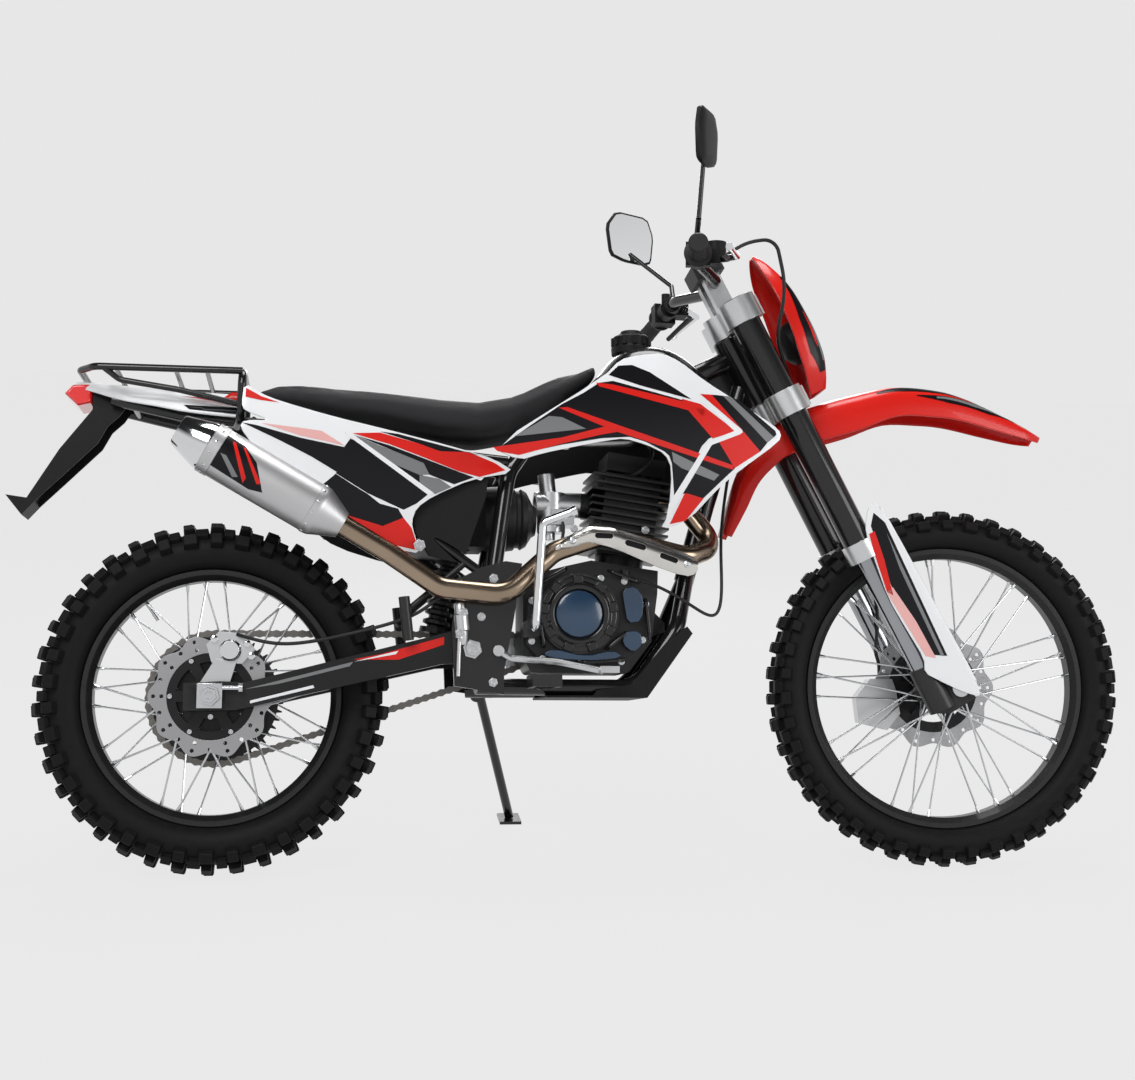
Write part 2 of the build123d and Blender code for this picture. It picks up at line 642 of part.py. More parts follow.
# The front brake's hose, in the order that the fluid takes
BRAKE_HOSE = 3.5
MASTER_INSET = PERCH_INSET + 22
hose_from = (bar_frame(-1, MASTER_INSET) * Pos(MASTER_FORWARD, 0, 0)).position
hose_next = (bar_frame(-1, MASTER_INSET + 26) * Pos(MASTER_FORWARD, 0, 0)).position
caliper_top = (FRONT_AXLE[0] - 104, CALIPER_OUT - 6, FRONT_AXLE[1] + 16)
brake_route = [tuple(hose_from), tuple(hose_next), (985, -146, 1186), (1040, -142, 1194), fork(815, 90, -142),
               fork(745, 38, -114), fork(690, 40, -62), fork(640, 44, -20), fork(612, 56, 66), fork(566, 52, 84),
               fork(440, 46, 98), fork(330, 47, 98), fork(235, 38, 88), fork(165, 10, 78), fork(112, -26, 74),
               (caliper_top[0], caliper_top[1], caliper_top[2] + 30), caliper_top]
keep("front_brake_hose", hose("front brake hose", brake_route, BRAKE_HOSE))

# Frame

PIVOT = (462.0, 411.0)
head_low = fork(LOWER_CLAMP + CLAMP_HALF + 3, STEM_Q, 0)
head_high = fork(UPPER_CLAMP - CLAMP_HALF - 3, STEM_Q, 0)
down_top = fork(LOWER_CLAMP + CLAMP_HALF + 46, STEM_Q - 22, 0)
back_top = fork(UPPER_CLAMP - CLAMP_HALF - 40, STEM_Q - 10, 0)
BACKBONE_BEND = (760.0, 0.0, 880.0)
BACKBONE_END = (560.0, 0.0, 800.0)
CRADLE_LOW = 345.0
CRADLE_X = (882.0, 848.0, 770.0, 600.0, 470.0)
UPRIGHT_TOP = 568.0
# the pivot plate's outline, traced round the swingarm's pivot
pivot_plate = [(430, 345), (470, 339), (520, 330), (520, 372), (538, 470), (552, UPRIGHT_TOP), (522, UPRIGHT_TOP + 4),
               (478, 560), (440, 540), (425, 450)]


def cradle(side):
    """One side of the frame: the lower cradle, the pivot plate and the rear upright."""
    y = side * CRADLE_Y
    x = CRADLE_X
    low = tube([(x[0], side * 6, 560), (x[1], y, 455), (x[2], y, CRADLE_LOW), (x[3], y, CRADLE_LOW),
                (x[4], side * (PLATE_Y - 5), CRADLE_LOW)], CRADLE_TUBE, [60, 60, 60])
    near, far = side * PLATE_Y, side * (PLATE_Y + PLATE_THICKNESS)
    upright = tube([(BACKBONE_END[0] + 15, side * 10, 806), (530, side * 72, 740), (500, side * (PLATE_Y - 5), 540)],
                   CRADLE_TUBE, [60])
    return low + plate(pivot_plate, near, far) - cyl_y(12, near - 1, far + 1, (470, 490)) + upright


main_frame = rod(head_low, head_high, HEAD_TUBE)
main_frame += tube([down_top, (921, 0, 700), (878, 0, 550)], DOWN_TUBE, [120])
main_frame += tube([back_top, BACKBONE_BEND, BACKBONE_END], BACKBONE, [260])
gusset = [(back_top[0], back_top[2] - 10), (down_top[0] + 4, down_top[2]), (down_top[0] - 20, down_top[2] - 70),
          (back_top[0] - 90, back_top[2] - 40)]
main_frame += plate(gusset, -4, 4)
for side in SIDES:
    main_frame += cradle(side)
main_frame += rod((600, -CRADLE_Y, CRADLE_LOW), (600, CRADLE_Y, CRADLE_LOW), 9)
main_frame -= rod(fork(LOWER_CLAMP, STEM_Q, 0), fork(UPPER_CLAMP, STEM_Q, 0), STEM_RADIUS + 6)
main_frame -= cyl_y(PIVOT_BOLT, -140, 140, PIVOT)

# Side stand: its hinge is square to the leg as it stands and as it lies folded back
STAND_PIVOT = Vector(497.0, 136.0, 352.0)
STAND_FOOT = (582.0, 334.0)
FOOT_THICKNESS = 6.0
STAND_PIN = 6.0
STAND_EYE = 13.0
EYE_HALF = 10.0
FOLDED = Vector(-0.97, 0.10, 0.12).normalized()
ankle = above_floor(*STAND_FOOT, FOOT_THICKNESS + 2)
leg_line = (ankle - STAND_PIVOT).normalized()
stand_axis = leg_line.cross(FOLDED).normalized()
stand_swing = leg_line.get_angle(FOLDED)
inward = -stand_axis if stand_axis.Y > 0 else stand_axis
eye_in = STAND_PIVOT + inward * EYE_HALF
eye_out = STAND_PIVOT - inward * EYE_HALF
stand = rod(eye_out, eye_in, STAND_EYE) + rod(STAND_PIVOT + leg_line * 8, ankle, 9)
foot = Pos(world(*ankle).X, world(*ankle).Y, 0) * Box(44, 62, FOOT_THICKNESS, align=LOW)
floor_block = Pos(0, 0, -60) * Box(6000, 6000, 60, align=LOW)
stand += ground.inverse() * foot - ground.inverse() * floor_block
stand -= rod(STAND_PIVOT - inward * 20, STAND_PIVOT + inward * 20, STAND_PIN + RUNNING_FIT)
keep("side_stand", stand)
inside_plate = plate([(300, 200), (700, 200), (700, 500), (300, 500)], 60, PLATE_Y)
main_frame += rod(eye_in + inward * 0.6, eye_in + inward * 22, STAND_PIN * 2) - inside_plate
main_frame += rod(eye_out - inward * 5, eye_in + inward * 8, STAND_PIN)
main_frame += rod(eye_out - inward * 5, eye_out - inward * 0.6, 10)
keep("main_frame", main_frame)

# x, y, z of a seat rail, from the frame's upright to the tail
rail_line = [(530, 66, 764), (430, 74, 772), (200, 70, 812), (-60, 56, 834), (-190, 50, 862)]
stay_foot, stay_top = (470, 112, 556), (110, 72, 816)


def subframe_side(side):
    """One side of the subframe: the seat rail and the stay under it."""
    rail = tube([(x, side * y, z) for x, y, z in rail_line], RAIL, [300, 300, 200])
    stay = rod((stay_foot[0], side * stay_foot[1], stay_foot[2]), (stay_top[0], side * stay_top[1], stay_top[2]), 9)
    return rail + stay


subframe = subframe_side(-1) + subframe_side(1)
# x, half width, z of the cross tubes
cross_tubes = [(470, 72, 769), (240, 70, 806), (-40, 56, 832), (-150, 52, 853)]
for x, half, z in cross_tubes:
    subframe += rod((x, -half, z), (x, half, z), 7)
keep("subframe", subframe - main_frame)

# Swingarm and shock

# the arm's outline at the axle, from the axle
arm_tail = [(-46, -26), (-46, 22), (18, 26), (60, 24)]
arm_tail_low = [(44, -25)]
# the arm's outline at the pivot, from the pivot
arm_head = [(-40, 32), (30, 30), (40, 4), (28, -22), (-52, -26)]
arm_outline = from_axle(arm_tail, REAR_AXLE) + from_axle(arm_head, PIVOT) + from_axle(arm_tail_low, REAR_AXLE)
BRIDGE_BACK = 108.0
bridge = [(PIVOT[0] - BRIDGE_BACK, PIVOT[1] - 27), (PIVOT[0] - 62, PIVOT[1] - 15), (PIVOT[0] - 62, PIVOT[1] + 19),
          (PIVOT[0] - BRIDGE_BACK, PIVOT[1] + 9)]
swing = plate(bridge, -ARM_IN - 5, ARM_IN + 5)
for side in SIDES:
    arm = plate(arm_outline, side * ARM_IN, side * ARM_OUT)
    window = [(-22, -9), (-22, 9), (26, 9), (26, -9)]
    arm -= plate(from_axle(window, REAR_AXLE), side * (ARM_OUT - 6), side * (ARM_OUT + 1))
    slider = [(-12, -7), (-12, 7), (12, 7), (12, -7)]
    arm += plate(from_axle(slider, REAR_AXLE), side * (ARM_IN + 8), side * (ARM_OUT + 2))
    swing += arm - cyl_y(REAR_AXLE_RADIUS, -140, 140, REAR_AXLE)
swing += cyl_y(19, -ARM_IN, ARM_IN, PIVOT)
swing += cyl_y(PIVOT_BOLT, -PLATE_Y - 14, PLATE_Y + 14, PIVOT)
keep("swingarm", swing)
keep("rear_axle", cyl_y(REAR_AXLE_RADIUS, -ARM_OUT - 21, ARM_OUT + 13, REAR_AXLE)
     + ring_y(15, 4, -ARM_OUT - 25, -ARM_OUT - 2, REAR_AXLE) + ring_y(15, 4, ARM_OUT + 2, ARM_OUT + 11, REAR_AXLE))

shock_low, shock_high = Vector(397, 0, 426), Vector(470, 0, 769)
shock_line = (shock_high - shock_low).normalized()
shock_length = (shock_high - shock_low).length
SPRING_TURNS = 9
SPRING_PITCH = 18.5
# height along the shock, radius: the eye, the spring's seat, its turns and the body over it
shock_profile = [(0, 9), (20, 9), (20, SHOCK + 3), (30, SHOCK + 3)]
for k in range(SPRING_TURNS):
    foot = 30 + SPRING_PITCH * k
    shock_profile += [(foot, SHOCK - 9), (foot + 5, SHOCK - 9), (foot + 8, SHOCK), (foot + 14, SHOCK)]
shock_profile += [(shock_length - 130, SHOCK + 3), (shock_length - 118, SHOCK + 3), (shock_length - 118, SHOCK - 4),
                  (shock_length - 50, SHOCK - 4), (shock_length - 50, 9), (shock_length, 9)]
shock_face = make_face(Polyline((0, 0), *[(radius, height) for height, radius in shock_profile],
                                (0, shock_length), close=True))
shock = Plane(origin=shock_low, z_dir=shock_line) * Rot(90, 0, 0) * revolve(shock_face, Axis.Y, 360)
keep("shock_absorber", shock - swing - pieces["subframe"])

# Engine

CRANK = (658.0, 478.0)
CYL_X, CYL_Z = 750.0, 572.0
CASE_IN, CASE_OUT = -72.0, 50.0
COVER_OUT = -100.0
FIN_SIZE = 152.0
SEAT_HALF = 64.0
lean_x, lean_z = SEAT_HALF * cos(radians(CYLINDER_TILT)), SEAT_HALF * sin(radians(CYLINDER_TILT))
case_outline = [(560, 400), (575, 372), (756, 372), (800, 430), (812, 520), (CYL_X + lean_x, CYL_Z - lean_z),
                (CYL_X - lean_x, CYL_Z + lean_z), (640, 570), (585, 555), (560, 520)]
crankcase = plate(case_outline, CASE_IN, CASE_OUT)
crankcase += plate([(800, 440), (836, 452), (836, 470), (806, 500)], -20, 20)
keep("crankcase", fillet(crankcase.edges().filter_by(Axis.Y).group_by(Axis.Z)[0], 10))

cover_outline = [(562, 424), (590, 390), (740, 386), (784, 430), (790, 500), (745, 546), (640, 552), (566, 506)]
clutch_cover = plate(cover_outline, COVER_OUT, CASE_IN)
clutch_cover = fillet(clutch_cover.edges().filter_by(Axis.Y), 12)
clutch_cover += cyl_y(74, COVER_OUT - 12, COVER_OUT, CRANK)
clutch_cover -= cyl_y(62, COVER_OUT - 13, COVER_OUT - 4, CRANK)
clutch_cover += cyl_y(42, COVER_OUT - 10, COVER_OUT, CRANK)
kick_hub = (572.0, 450.0)
clutch_cover += cyl_y(18, COVER_OUT - 14, CASE_IN, kick_hub)
clutch_cover += rod((748, -86, 536), (748, -86, 562), 9)
generator_outline = [(602, 420), (624, 388), (740, 386), (784, 430), (788, 500), (745, 546), (640, 546), (602, 510)]
generator_cover = plate(generator_outline, CASE_OUT, CASE_OUT + 12) + cyl_y(58, CASE_OUT, CASE_OUT + 36, (708, 470))
keep("engine_covers", clutch_cover, generator_cover)

cylinder_base = Pos(CYL_X, 0, CYL_Z) * Rot(0, CYLINDER_TILT, 0)
cylinder = cylinder_base * Cylinder(CYLINDER_BORE, 200, align=LOW)
for k in range(FIN_COUNT):
    spread = FIN_SIZE if k < FIN_COUNT - 3 else FIN_SIZE + 8
    cylinder += cylinder_base * Pos(0, 0, 24 + k * FIN_PITCH) * Box(spread, spread - 22, 4.5, align=LOW)
cylinder += cylinder_base * Pos(0, 0, 24 + FIN_COUNT * FIN_PITCH) * Box(112, 108, 34, align=LOW)
cylinder += cylinder_base * Pos(0, 0, 20) * Box(104, 104, FIN_COUNT * FIN_PITCH, align=LOW)
inlet_port, outlet_port = (678, 6, 694), (808, -12, 700)
cylinder += rod((740, 0, 690), inlet_port, 24)
cylinder -= rod((760, -4, 700), (870, -22, 700), HEADER + 0.3)
keep("cylinder", cylinder)

CARB_BORE = 22.0
carb_mouth = (590, 0, 694)
carburettor = rod(inlet_port, carb_mouth, CARB_BORE + 2)
carburettor += rod((622, 4, 640), (622, 4, 716), 27) + rod((618, 4, 700), (612, 4, 752), 16)
carburettor += rod((618, 4, 626), (618, 4, 641), 12) + Pos(640, 4, 668) * Box(44, 62, 30)
keep("carburettor", carburettor - cylinder - rod((570, 0, 694), (640, 0, 694), CARB_BORE - 5))

BOOT_START, BOOT_END, BOOT_Z = 490.0, 590.0, 664.0
# share of the boot's length, radius
boot_profile = [(0.0, 60), (0.30, 62), (0.34, 57), (0.40, 57), (0.44, 61), (0.58, 59), (0.62, 54), (0.68, 54),
                (0.72, 58), (0.82, 52), (0.93, 34), (1.0, 30)]
AIRBOX_Y = 104.0
airbox = plate([(340, 600), (432, 590), (432, 752), (340, 745)], -AIRBOX_Y, AIRBOX_Y)
airbox += plate([(425, 604), (BOOT_START, 604), (BOOT_START, 726), (425, 740)], -64, 64)
cover = [(352, 668), (378, 688), (440, 710), (489, 722), (486, 690), (444, 566), (381, 579), (358, 620)]
for side in SIDES:
    airbox += plate(cover, side * AIRBOX_Y, side * (AIRBOX_Y + 12))
    airbox -= rod((480, side * 113, 548), (80, side * 71, 839), 12)
    airbox -= tube([(560, side * 66, 760), (430, side * 74, 772), (200, side * 70, 812)], RAIL + 3, [300])
airbox -= rod((392, 0, 410), (475, 0, 792), SHOCK + 6)
keep("airbox", airbox)

boot_line = [(BOOT_START + share * (BOOT_END - BOOT_START), radius) for share, radius in boot_profile]
boot_face = make_face(Polyline((BOOT_START, 0), *boot_line, (BOOT_END, 0), close=True))
keep("intake_boot", Pos(0, 0, BOOT_Z) * revolve(boot_face, Axis.X, 360) - pieces["airbox"]
     - rod((BOOT_END - 30, 0, 694), (BOOT_END + 20, 0, 694), CARB_BORE + 2))

# Exhaust

can_back, can_front = Vector(-12, -170, 761), Vector(185, -152, 651)
can_line = (can_back - can_front).normalized()
can_length = (can_back - can_front).length
CONE_LENGTH = 47.0
CAP_LENGTH = 58.0
can_neck = can_front - can_line * CONE_LENGTH
header_route = [outlet_port, (870, -22, 700), (925, -70, 610), (860, -118, 585), (700, -124, 622), (610, -126, 590),
                (520, -145, 508), (400, -142, 520), (310, -143, 580), tuple(can_neck)]
keep("header_pipe", tube(header_route, HEADER, [30, 45, 45, 60, 60, 60, 60, 60]))


def round_cone(start, end, start_radius, end_radius):
    """A round taper between two points."""
    line = end - start
    base = Plane(origin=start, z_dir=line)
    return base * Cone(start_radius, end_radius, line.length, align=LOW)


OUTLET = 16.0
band = CONE_LENGTH + can_length - 22
# length from the neck, radius: cone, can, riveted band, end cap and outlet
can_profile = [(0, HEADER + 4), (CONE_LENGTH, CAN_RADIUS), (band, CAN_RADIUS), (band, CAN_RADIUS + 1.5),
               (band + 20, CAN_RADIUS + 1.5), (band + 20, CAN_RADIUS), (band + 22, CAN_RADIUS),
               (band + 22 + CAP_LENGTH, CAN_RADIUS - 17), (band + 22 + CAP_LENGTH, OUTLET),
               (band + 34, OUTLET)]
can_face = make_face(Polyline((0, 0), *[(radius, along) for along, radius in can_profile], (0, band + 34), close=True))
muffler = Plane(origin=can_neck, z_dir=can_line) * Rot(90, 0, 0) * revolve(can_face, Axis.Y, 360)
hanger = can_front + can_line * (0.65 * can_length)
muffler += rod(tuple(hanger), (64, -70, 818), 6) - pieces["subframe"]
keep("muffler", muffler)

shield_outline = [(614, 601), (674, 633), (720, 629), (867, 585), (853, 549), (826, 545), (733, 586), (693, 599),
                  (634, 588)]
SHIELD_Y = -150.0
shield = plate(shield_outline, SHIELD_Y, SHIELD_Y + 3)
for x, z, turn in ((700, 613, 4), (762, 596, 16), (822, 575, 22)):
    slot = Pos(x, SHIELD_Y + 10, z) * Rot(0, turn, 0) * Rot(90, 0, 0) * extrude(SlotOverall(42, 11), amount=20)
    shield -= slot
for x, z in ((648, 606), (850, 577)):
    shield += rod((x, SHIELD_Y + 1, z), (x, -126, z), 6)
keep("heat_shield", shield - pieces["header_pipe"])

# Tank, seat and bodywork

# x, half width, bottom, top, rounding
tank_rows = [(640, 72, 812, 868, 0.5), (706, 96, 812, 936, 0.5), (722, 99, 812, 968, 0.5),
             (752, 106, 812, 990, 0.45), (800, 112, 812, 1000, 0.45), (850, 110, 816, 996, 0.45),
             (905, 82, 836, 952, 0.5), (938, 56, 858, 928, 0.5)]
tunnel_top = BACKBONE + TUNNEL_GAP
tunnel = [(560, 700), (560, BACKBONE_END[2] + tunnel_top), (BACKBONE_BEND[0], BACKBONE_BEND[2] + tunnel_top),
          (1010, 1036), (1010, 700)]
CAP_X, CAP_Z = 778.0, 990.0
tank = loft([block(*row) for row in tank_rows], ruled=True)
tank -= plate(tunnel, -tunnel_top, tunnel_top)
tank -= Pos(CAP_X, 0, CAP_Z) * Cylinder(CAP_RADIUS + SEAT_GAP, 60, align=LOW)
keep("fuel_tank", tank)
cap = Cylinder(CAP_RADIUS, 34, align=LOW) + Pos(0, 0, 34) * Cone(CAP_RADIUS - 4, CAP_RADIUS - 12, 12, align=LOW)
keep("fuel_cap", Pos(CAP_X, 0, CAP_Z) * cap)
seat_rows = [(60, 60, 866, 895, 0.6), (150, 78, 852, 899, 0.6), (300, 86, 826, 889, 0.6),
             (410, 84, 806, 880, 0.6), (478, 78, 800, 878, 0.6), (540, 70, 812, 891, 0.6),
             (566, 66, 832, 901, 0.6), (600, 62, 848, 920, 0.6), (650, 54, 892, 944, 0.6),
             (704, 40, 941, 968, 0.6)]
seat = loft([block(*row) for row in seat_rows], ruled=True)
for x, half, z in cross_tubes[1:2]:
    seat += [Pos(x, side * (half - 30), z) * Cylinder(9, 40, align=LOW) for side in SIDES]
keep("seat", seat - pieces["subframe"])

shroud_outline = [(692, 904), (722, 938), (805, 956), (837, 942), (883, 906), (1020, 824), (1029, 811), (1023, 796),
                  (944, 738), (906, 706), (853, 648), (801, 630), (813, 653), (817, 738), (805, 765), (771, 780),
                  (728, 790), (697, 785), (576, 756), (535, 742), (484, 763)]
shroud = skin(shroud_outline, -176, 620, 800, 6, 900)
# x, z, outer end of the pegs that hold a shroud off the tank
for x, z, out in ((740, 900, -186), (840, 900, -176)):
    shroud += cyl_y(9, out, -100, (x, z))
keep("tank_shrouds", *both(shroud - tank))

panel_outline = [(49, 881), (113, 850), (205, 826), (315, 803), (438, 775), (500, 758), (538, 735), (459, 720),
                 (389, 687), (358, 664), (350, 639), (355, 617), (370, 582), (317, 590), (219, 621), (172, 655),
                 (102, 723), (69, 765), (43, 800), (50, 812), (97, 814), (51, 830), (45, 842)]
panel = skin(panel_outline, -138, 900, 740, 4, 300)
# x, z, outer end of the pegs that hold a panel off the seat rail
for x, z, out in ((150, 820, -145), (400, 776, -130)):
    panel += cyl_y(7, out, -70, (x, z))
cut_radius = CAN_RADIUS + EXHAUST_GAP
panel -= rod(tuple(can_front), tuple(can_back), cut_radius)
panel -= round_cone(can_neck, can_front, HEADER + 4 + EXHAUST_GAP, cut_radius)
panel -= tube(header_route[-4:], HEADER + EXHAUST_GAP, [60, 60])
keep("side_panels", *both(panel - pieces["subframe"] - airbox))

# x, crown z, half width, depth of the sides
tail_rows = [(-256, 901, 40, 14), (-170, 893, 66, 34), (-60, 884, 86, 46), (44, 880, 92, 52)]
tail = loft([trough(Plane(origin=(x, 0, z), x_dir=(0, 1, 0), z_dir=(1, 0, 0)), half, depth)
             for x, z, half, depth in tail_rows], ruled=True)
for (x, _, z), crown in zip(cross_tubes[2:], (881, 890)):
    tail += [rod((x, y, z), (x, y, crown), 8) for y in (-24, 24)]
lamp_outline = [(-276, 874), (-262, 890), (-226, 893), (-226, 858), (-252, 852)]
LAMP_HALF = 45.0
tail -= plate([(-290, 840), (-290, 893.5), (-222, 893.5), (-222, 840)], -LAMP_HALF - 1, LAMP_HALF + 1)
tail -= pieces["subframe"]
keep("tail_fender", tail)
keep("tail_lamp", plate(lamp_outline, -LAMP_HALF, LAMP_HALF))
bracket_outline = [(-226, 892), (-226, 846), (-282, 772), (-336, 682), (-373, 687), (-344, 651), (-322, 676),
                   (-279, 719), (-215, 784), (-198, 816), (-177, 836), (-160, 862), (-150, 888)]
BRACKET_HALF = 38.0
hollow = [(-214, 880), (-216, 842), (-272, 768), (-326, 684), (-322, 660), (-200, 770), (-180, 820), (-150, 850),
          (-140, 880)]
bracket = plate(bracket_outline, -BRACKET_HALF, BRACKET_HALF) - plate(hollow, 4 - BRACKET_HALF, BRACKET_HALF - 4)
keep("plate_bracket", bracket - tail - pieces["subframe"])

# x, z of the top rail and the stay below it
RACK_Y = 105.0
RACK_TOP = 912.0
RACK_TUBE = 6.5
HOOP_TUBE = 8.0
rack_ends = (-246.0, 42.0)
corner_y = RACK_Y - 40
top_loop = [(0, -RACK_Y, RACK_TOP), (rack_ends[0] + 30, -RACK_Y, RACK_TOP), (rack_ends[0], -corner_y, RACK_TOP),
            (rack_ends[0], corner_y, RACK_TOP), (rack_ends[0] + 30, RACK_Y, RACK_TOP), (0, RACK_Y, RACK_TOP)]
rack = tube(top_loop, RACK_TUBE, [22, 22, 22, 22])
hoop_x = rack_ends[1]
hoop = [(34, -62, 818), (hoop_x, -RACK_Y, 826), (hoop_x + 2, -RACK_Y, RACK_TOP), (hoop_x + 2, RACK_Y, RACK_TOP),
        (hoop_x, RACK_Y, 826), (34, 62, 818)]
rack += tube(hoop, HOOP_TUBE, [24, 24, 24, 24])
for side in SIDES:
    rack += rod((-2, side * RACK_Y, RACK_TOP), (hoop_x + 2, side * RACK_Y, RACK_TOP), RACK_TUBE)
    rack += tube([(-200, side * RACK_Y, RACK_TOP - 2), (-172, side * (RACK_Y - 1), 889), (-70, side * RACK_Y, 874),
                  (hoop_x, side * RACK_Y, 850)], RACK_TUBE - 1, [30, 200])
for x in (-180, -75, -20):
    rack += rod((x, -RACK_Y, RACK_TOP), (x, RACK_Y, RACK_TOP), RACK_TUBE - 2)
keep("luggage_rack", rack - pieces["subframe"] - tail)

# Rider's controls

PEG_X, PEG_Z = 585.0, 352.0


def peg(side):
    """A footpeg: an open frame with a toothed rim, hinged on a stub off the cradle."""
    body = Box(52, 92, 22) - Box(36, 76, 24)
    body += Box(8, 80, 16) - Pos(0, 0, 12) * Box(60, 10, 10)
    for k in range(-3, 4):
        body -= Pos(0, 13 * k + 6.5, 11) * Rot(45, 0, 0) * Box(60, 5, 5)
    stub = rod((PEG_X, side * 90, PEG_Z - 4), (PEG_X, side * 135, PEG_Z - 4), 9)
    return Pos(PEG_X, side * 176, PEG_Z) * body + stub - pieces["main_frame"]


# x, z of the folded passenger peg's hanger and of its two ends
hanger_line = [(446, 566), (345, 480)]
folded_peg = [(338, 504), (347, 426)]


def passenger_peg(side):
    """A folded passenger peg on a hanger off the frame's stay."""
    near, far = side * 112, side * 126
    arm = rod((hanger_line[0][0], near, hanger_line[0][1]), (hanger_line[1][0], near, hanger_line[1][1]), 6)
    arm += rod((343, near, 476), (343, far, 466), 8)
    return arm + rod((folded_peg[0][0], far, folded_peg[0][1]), (folded_peg[1][0], far, folded_peg[1][1]), 10)


rider_pegs = [peg(side) for side in SIDES]
rear_pegs = [passenger_peg(side) - pieces["subframe"] - pieces["main_frame"] for side in SIDES]
keep("footpegs", *rider_pegs, *rear_pegs)

PEDAL_Y = -PLATE_Y - PLATE_THICKNESS - 12
pedal_line = [(508, PEDAL_Y, 408), (530, PEDAL_Y, 395), (614, PEDAL_Y - 8, 389), (696, PEDAL_Y - 20, 372)]
pedal = tube(pedal_line, 6, [20, 60])
pedal += cyl_y(10, PEDAL_Y - 6, -PLATE_Y - PLATE_THICKNESS, (508, 408))
keep("brake_pedal", pedal + Pos(704, PEDAL_Y - 26, 374) * Box(34, 40, 12))
gear = rod((640, CASE_OUT + 12, 410), (640, 104, 410), 8) + rod((636, 98, 410), (762, 118, 388), 6)
keep("gear_lever", gear + rod((760, 110, 388), (760, 150, 388), 7))
kick_out = COVER_OUT - 14
kick_line = [(kick_hub[0], kick_out, kick_hub[1]), (kick_hub[0], -158, kick_hub[1]), (583, -170, 637),
             (642, -182, 659)]
kick = tube(kick_line, 8, [12, 12]) + rod((632, -181, 655), (642, -182, 659), 10)
keep("kick_starter", kick)

# The guard under the engine: a bent sheet with a cheek each side, held against the cradle
GUARD_SHEET = 4.0
guard_half = CRADLE_Y + CRADLE_TUBE + GUARD_SHEET + 1
cradle_bottom = CRADLE_LOW - CRADLE_TUBE
sheet = [(868, 448), (785, cradle_bottom), (600, cradle_bottom), (600, cradle_bottom - GUARD_SHEET),
         (787, cradle_bottom - GUARD_SHEET), (873, 445)]
cheek = [(873, 445), (863, 458), (825, 430), (757, 350), (693, 340), (683, cradle_bottom - GUARD_SHEET),
         (787, cradle_bottom - GUARD_SHEET)]
guard = plate(sheet, -guard_half, guard_half)
for side in SIDES:
    guard += plate(cheek, side * (guard_half - GUARD_SHEET), side * guard_half)
keep("skid_plate", guard)

# Chain

DRIVE = (PIVOT[0] + 88.0, PIVOT[1] + 6.0)
PIN_SWELL = 7.4
WAIST_SWELL = 5.4


def chain_line():
    """Points along the chain with its outward directions, two for each link, round both sprockets."""
    big = CHAIN_PITCH / (2 * sin(pi / REAR_TEETH))
    small = CHAIN_PITCH / (2 * sin(pi / ENGINE_TEETH))
    span = hypot(DRIVE[0] - REAR_AXLE[0], DRIVE[1] - REAR_AXLE[1])
    slope = atan2(DRIVE[1] - REAR_AXLE[1], DRIVE[0] - REAR_AXLE[0])
    wrap = asin((big - small) / span)
    straight = span * cos(wrap)
    top, bottom = slope + pi / 2 - wrap, slope - pi / 2 + wrap
    # length, start angle, end angle, share of the way from the axle at the start and at the end
    stretches = [(straight, top, top, 0, 1), (small * (pi - 2 * wrap), top, bottom, 1, 1),
                 (straight, bottom, bottom, 1, 0), (big * (pi + 2 * wrap), bottom, top - 2 * pi, 0, 0)]
    total = sum(row[0] for row in stretches)
    halves = 2 * round(total / CHAIN_PITCH)
    points = []
    for k in range(halves):
        left = total * k / halves
        for length, angle, last, share, end in stretches:
            if left < length:
                break
            left -= length
        angle += (last - angle) * left / length
        share += (end - share) * left / length
        radius = big + (small - big) * share
        x = REAR_AXLE[0] + (DRIVE[0] - REAR_AXLE[0]) * share + radius * cos(angle)
        z = REAR_AXLE[1] + (DRIVE[1] - REAR_AXLE[1]) * share + radius * sin(angle)
        points.append((x, z, cos(angle), sin(angle)))
    return points, big, small


chain_points, big_pitch, small_pitch = chain_line()
edges = {1: [], -1: []}
for k, (x, z, out_x, out_z) in enumerate(chain_points):
    swell = PIN_SWELL if k % 2 else WAIST_SWELL
    for way, edge in edges.items():
        edge.append((x + way * swell * out_x, z + way * swell * out_z))
chain = plate(edges[1], CHAIN_Y - CHAIN_WIDTH / 2, CHAIN_Y + CHAIN_WIDTH / 2)
chain -= plate(edges[-1], CHAIN_Y - CHAIN_WIDTH, CHAIN_Y + CHAIN_WIDTH)
tooth_gap = SPROCKET_THICKNESS / 2 + 0.6
TOOTH_REACH = 4.6
chain -= cyl_y(big_pitch + TOOTH_REACH, CHAIN_Y - tooth_gap, CHAIN_Y + tooth_gap, REAR_AXLE)
chain -= cyl_y(small_pitch + TOOTH_REACH, CHAIN_Y - tooth_gap, CHAIN_Y + tooth_gap, DRIVE)
keep("drive_chain", chain)
drive_sprocket = Pos(DRIVE[0], 0, DRIVE[1]) * toothed(ENGINE_TEETH, 9, SPROCKET_THICKNESS, CHAIN_Y)
keep("drive_sprocket", drive_sprocket + cyl_y(12, CASE_OUT + 0.2, CHAIN_Y, DRIVE))

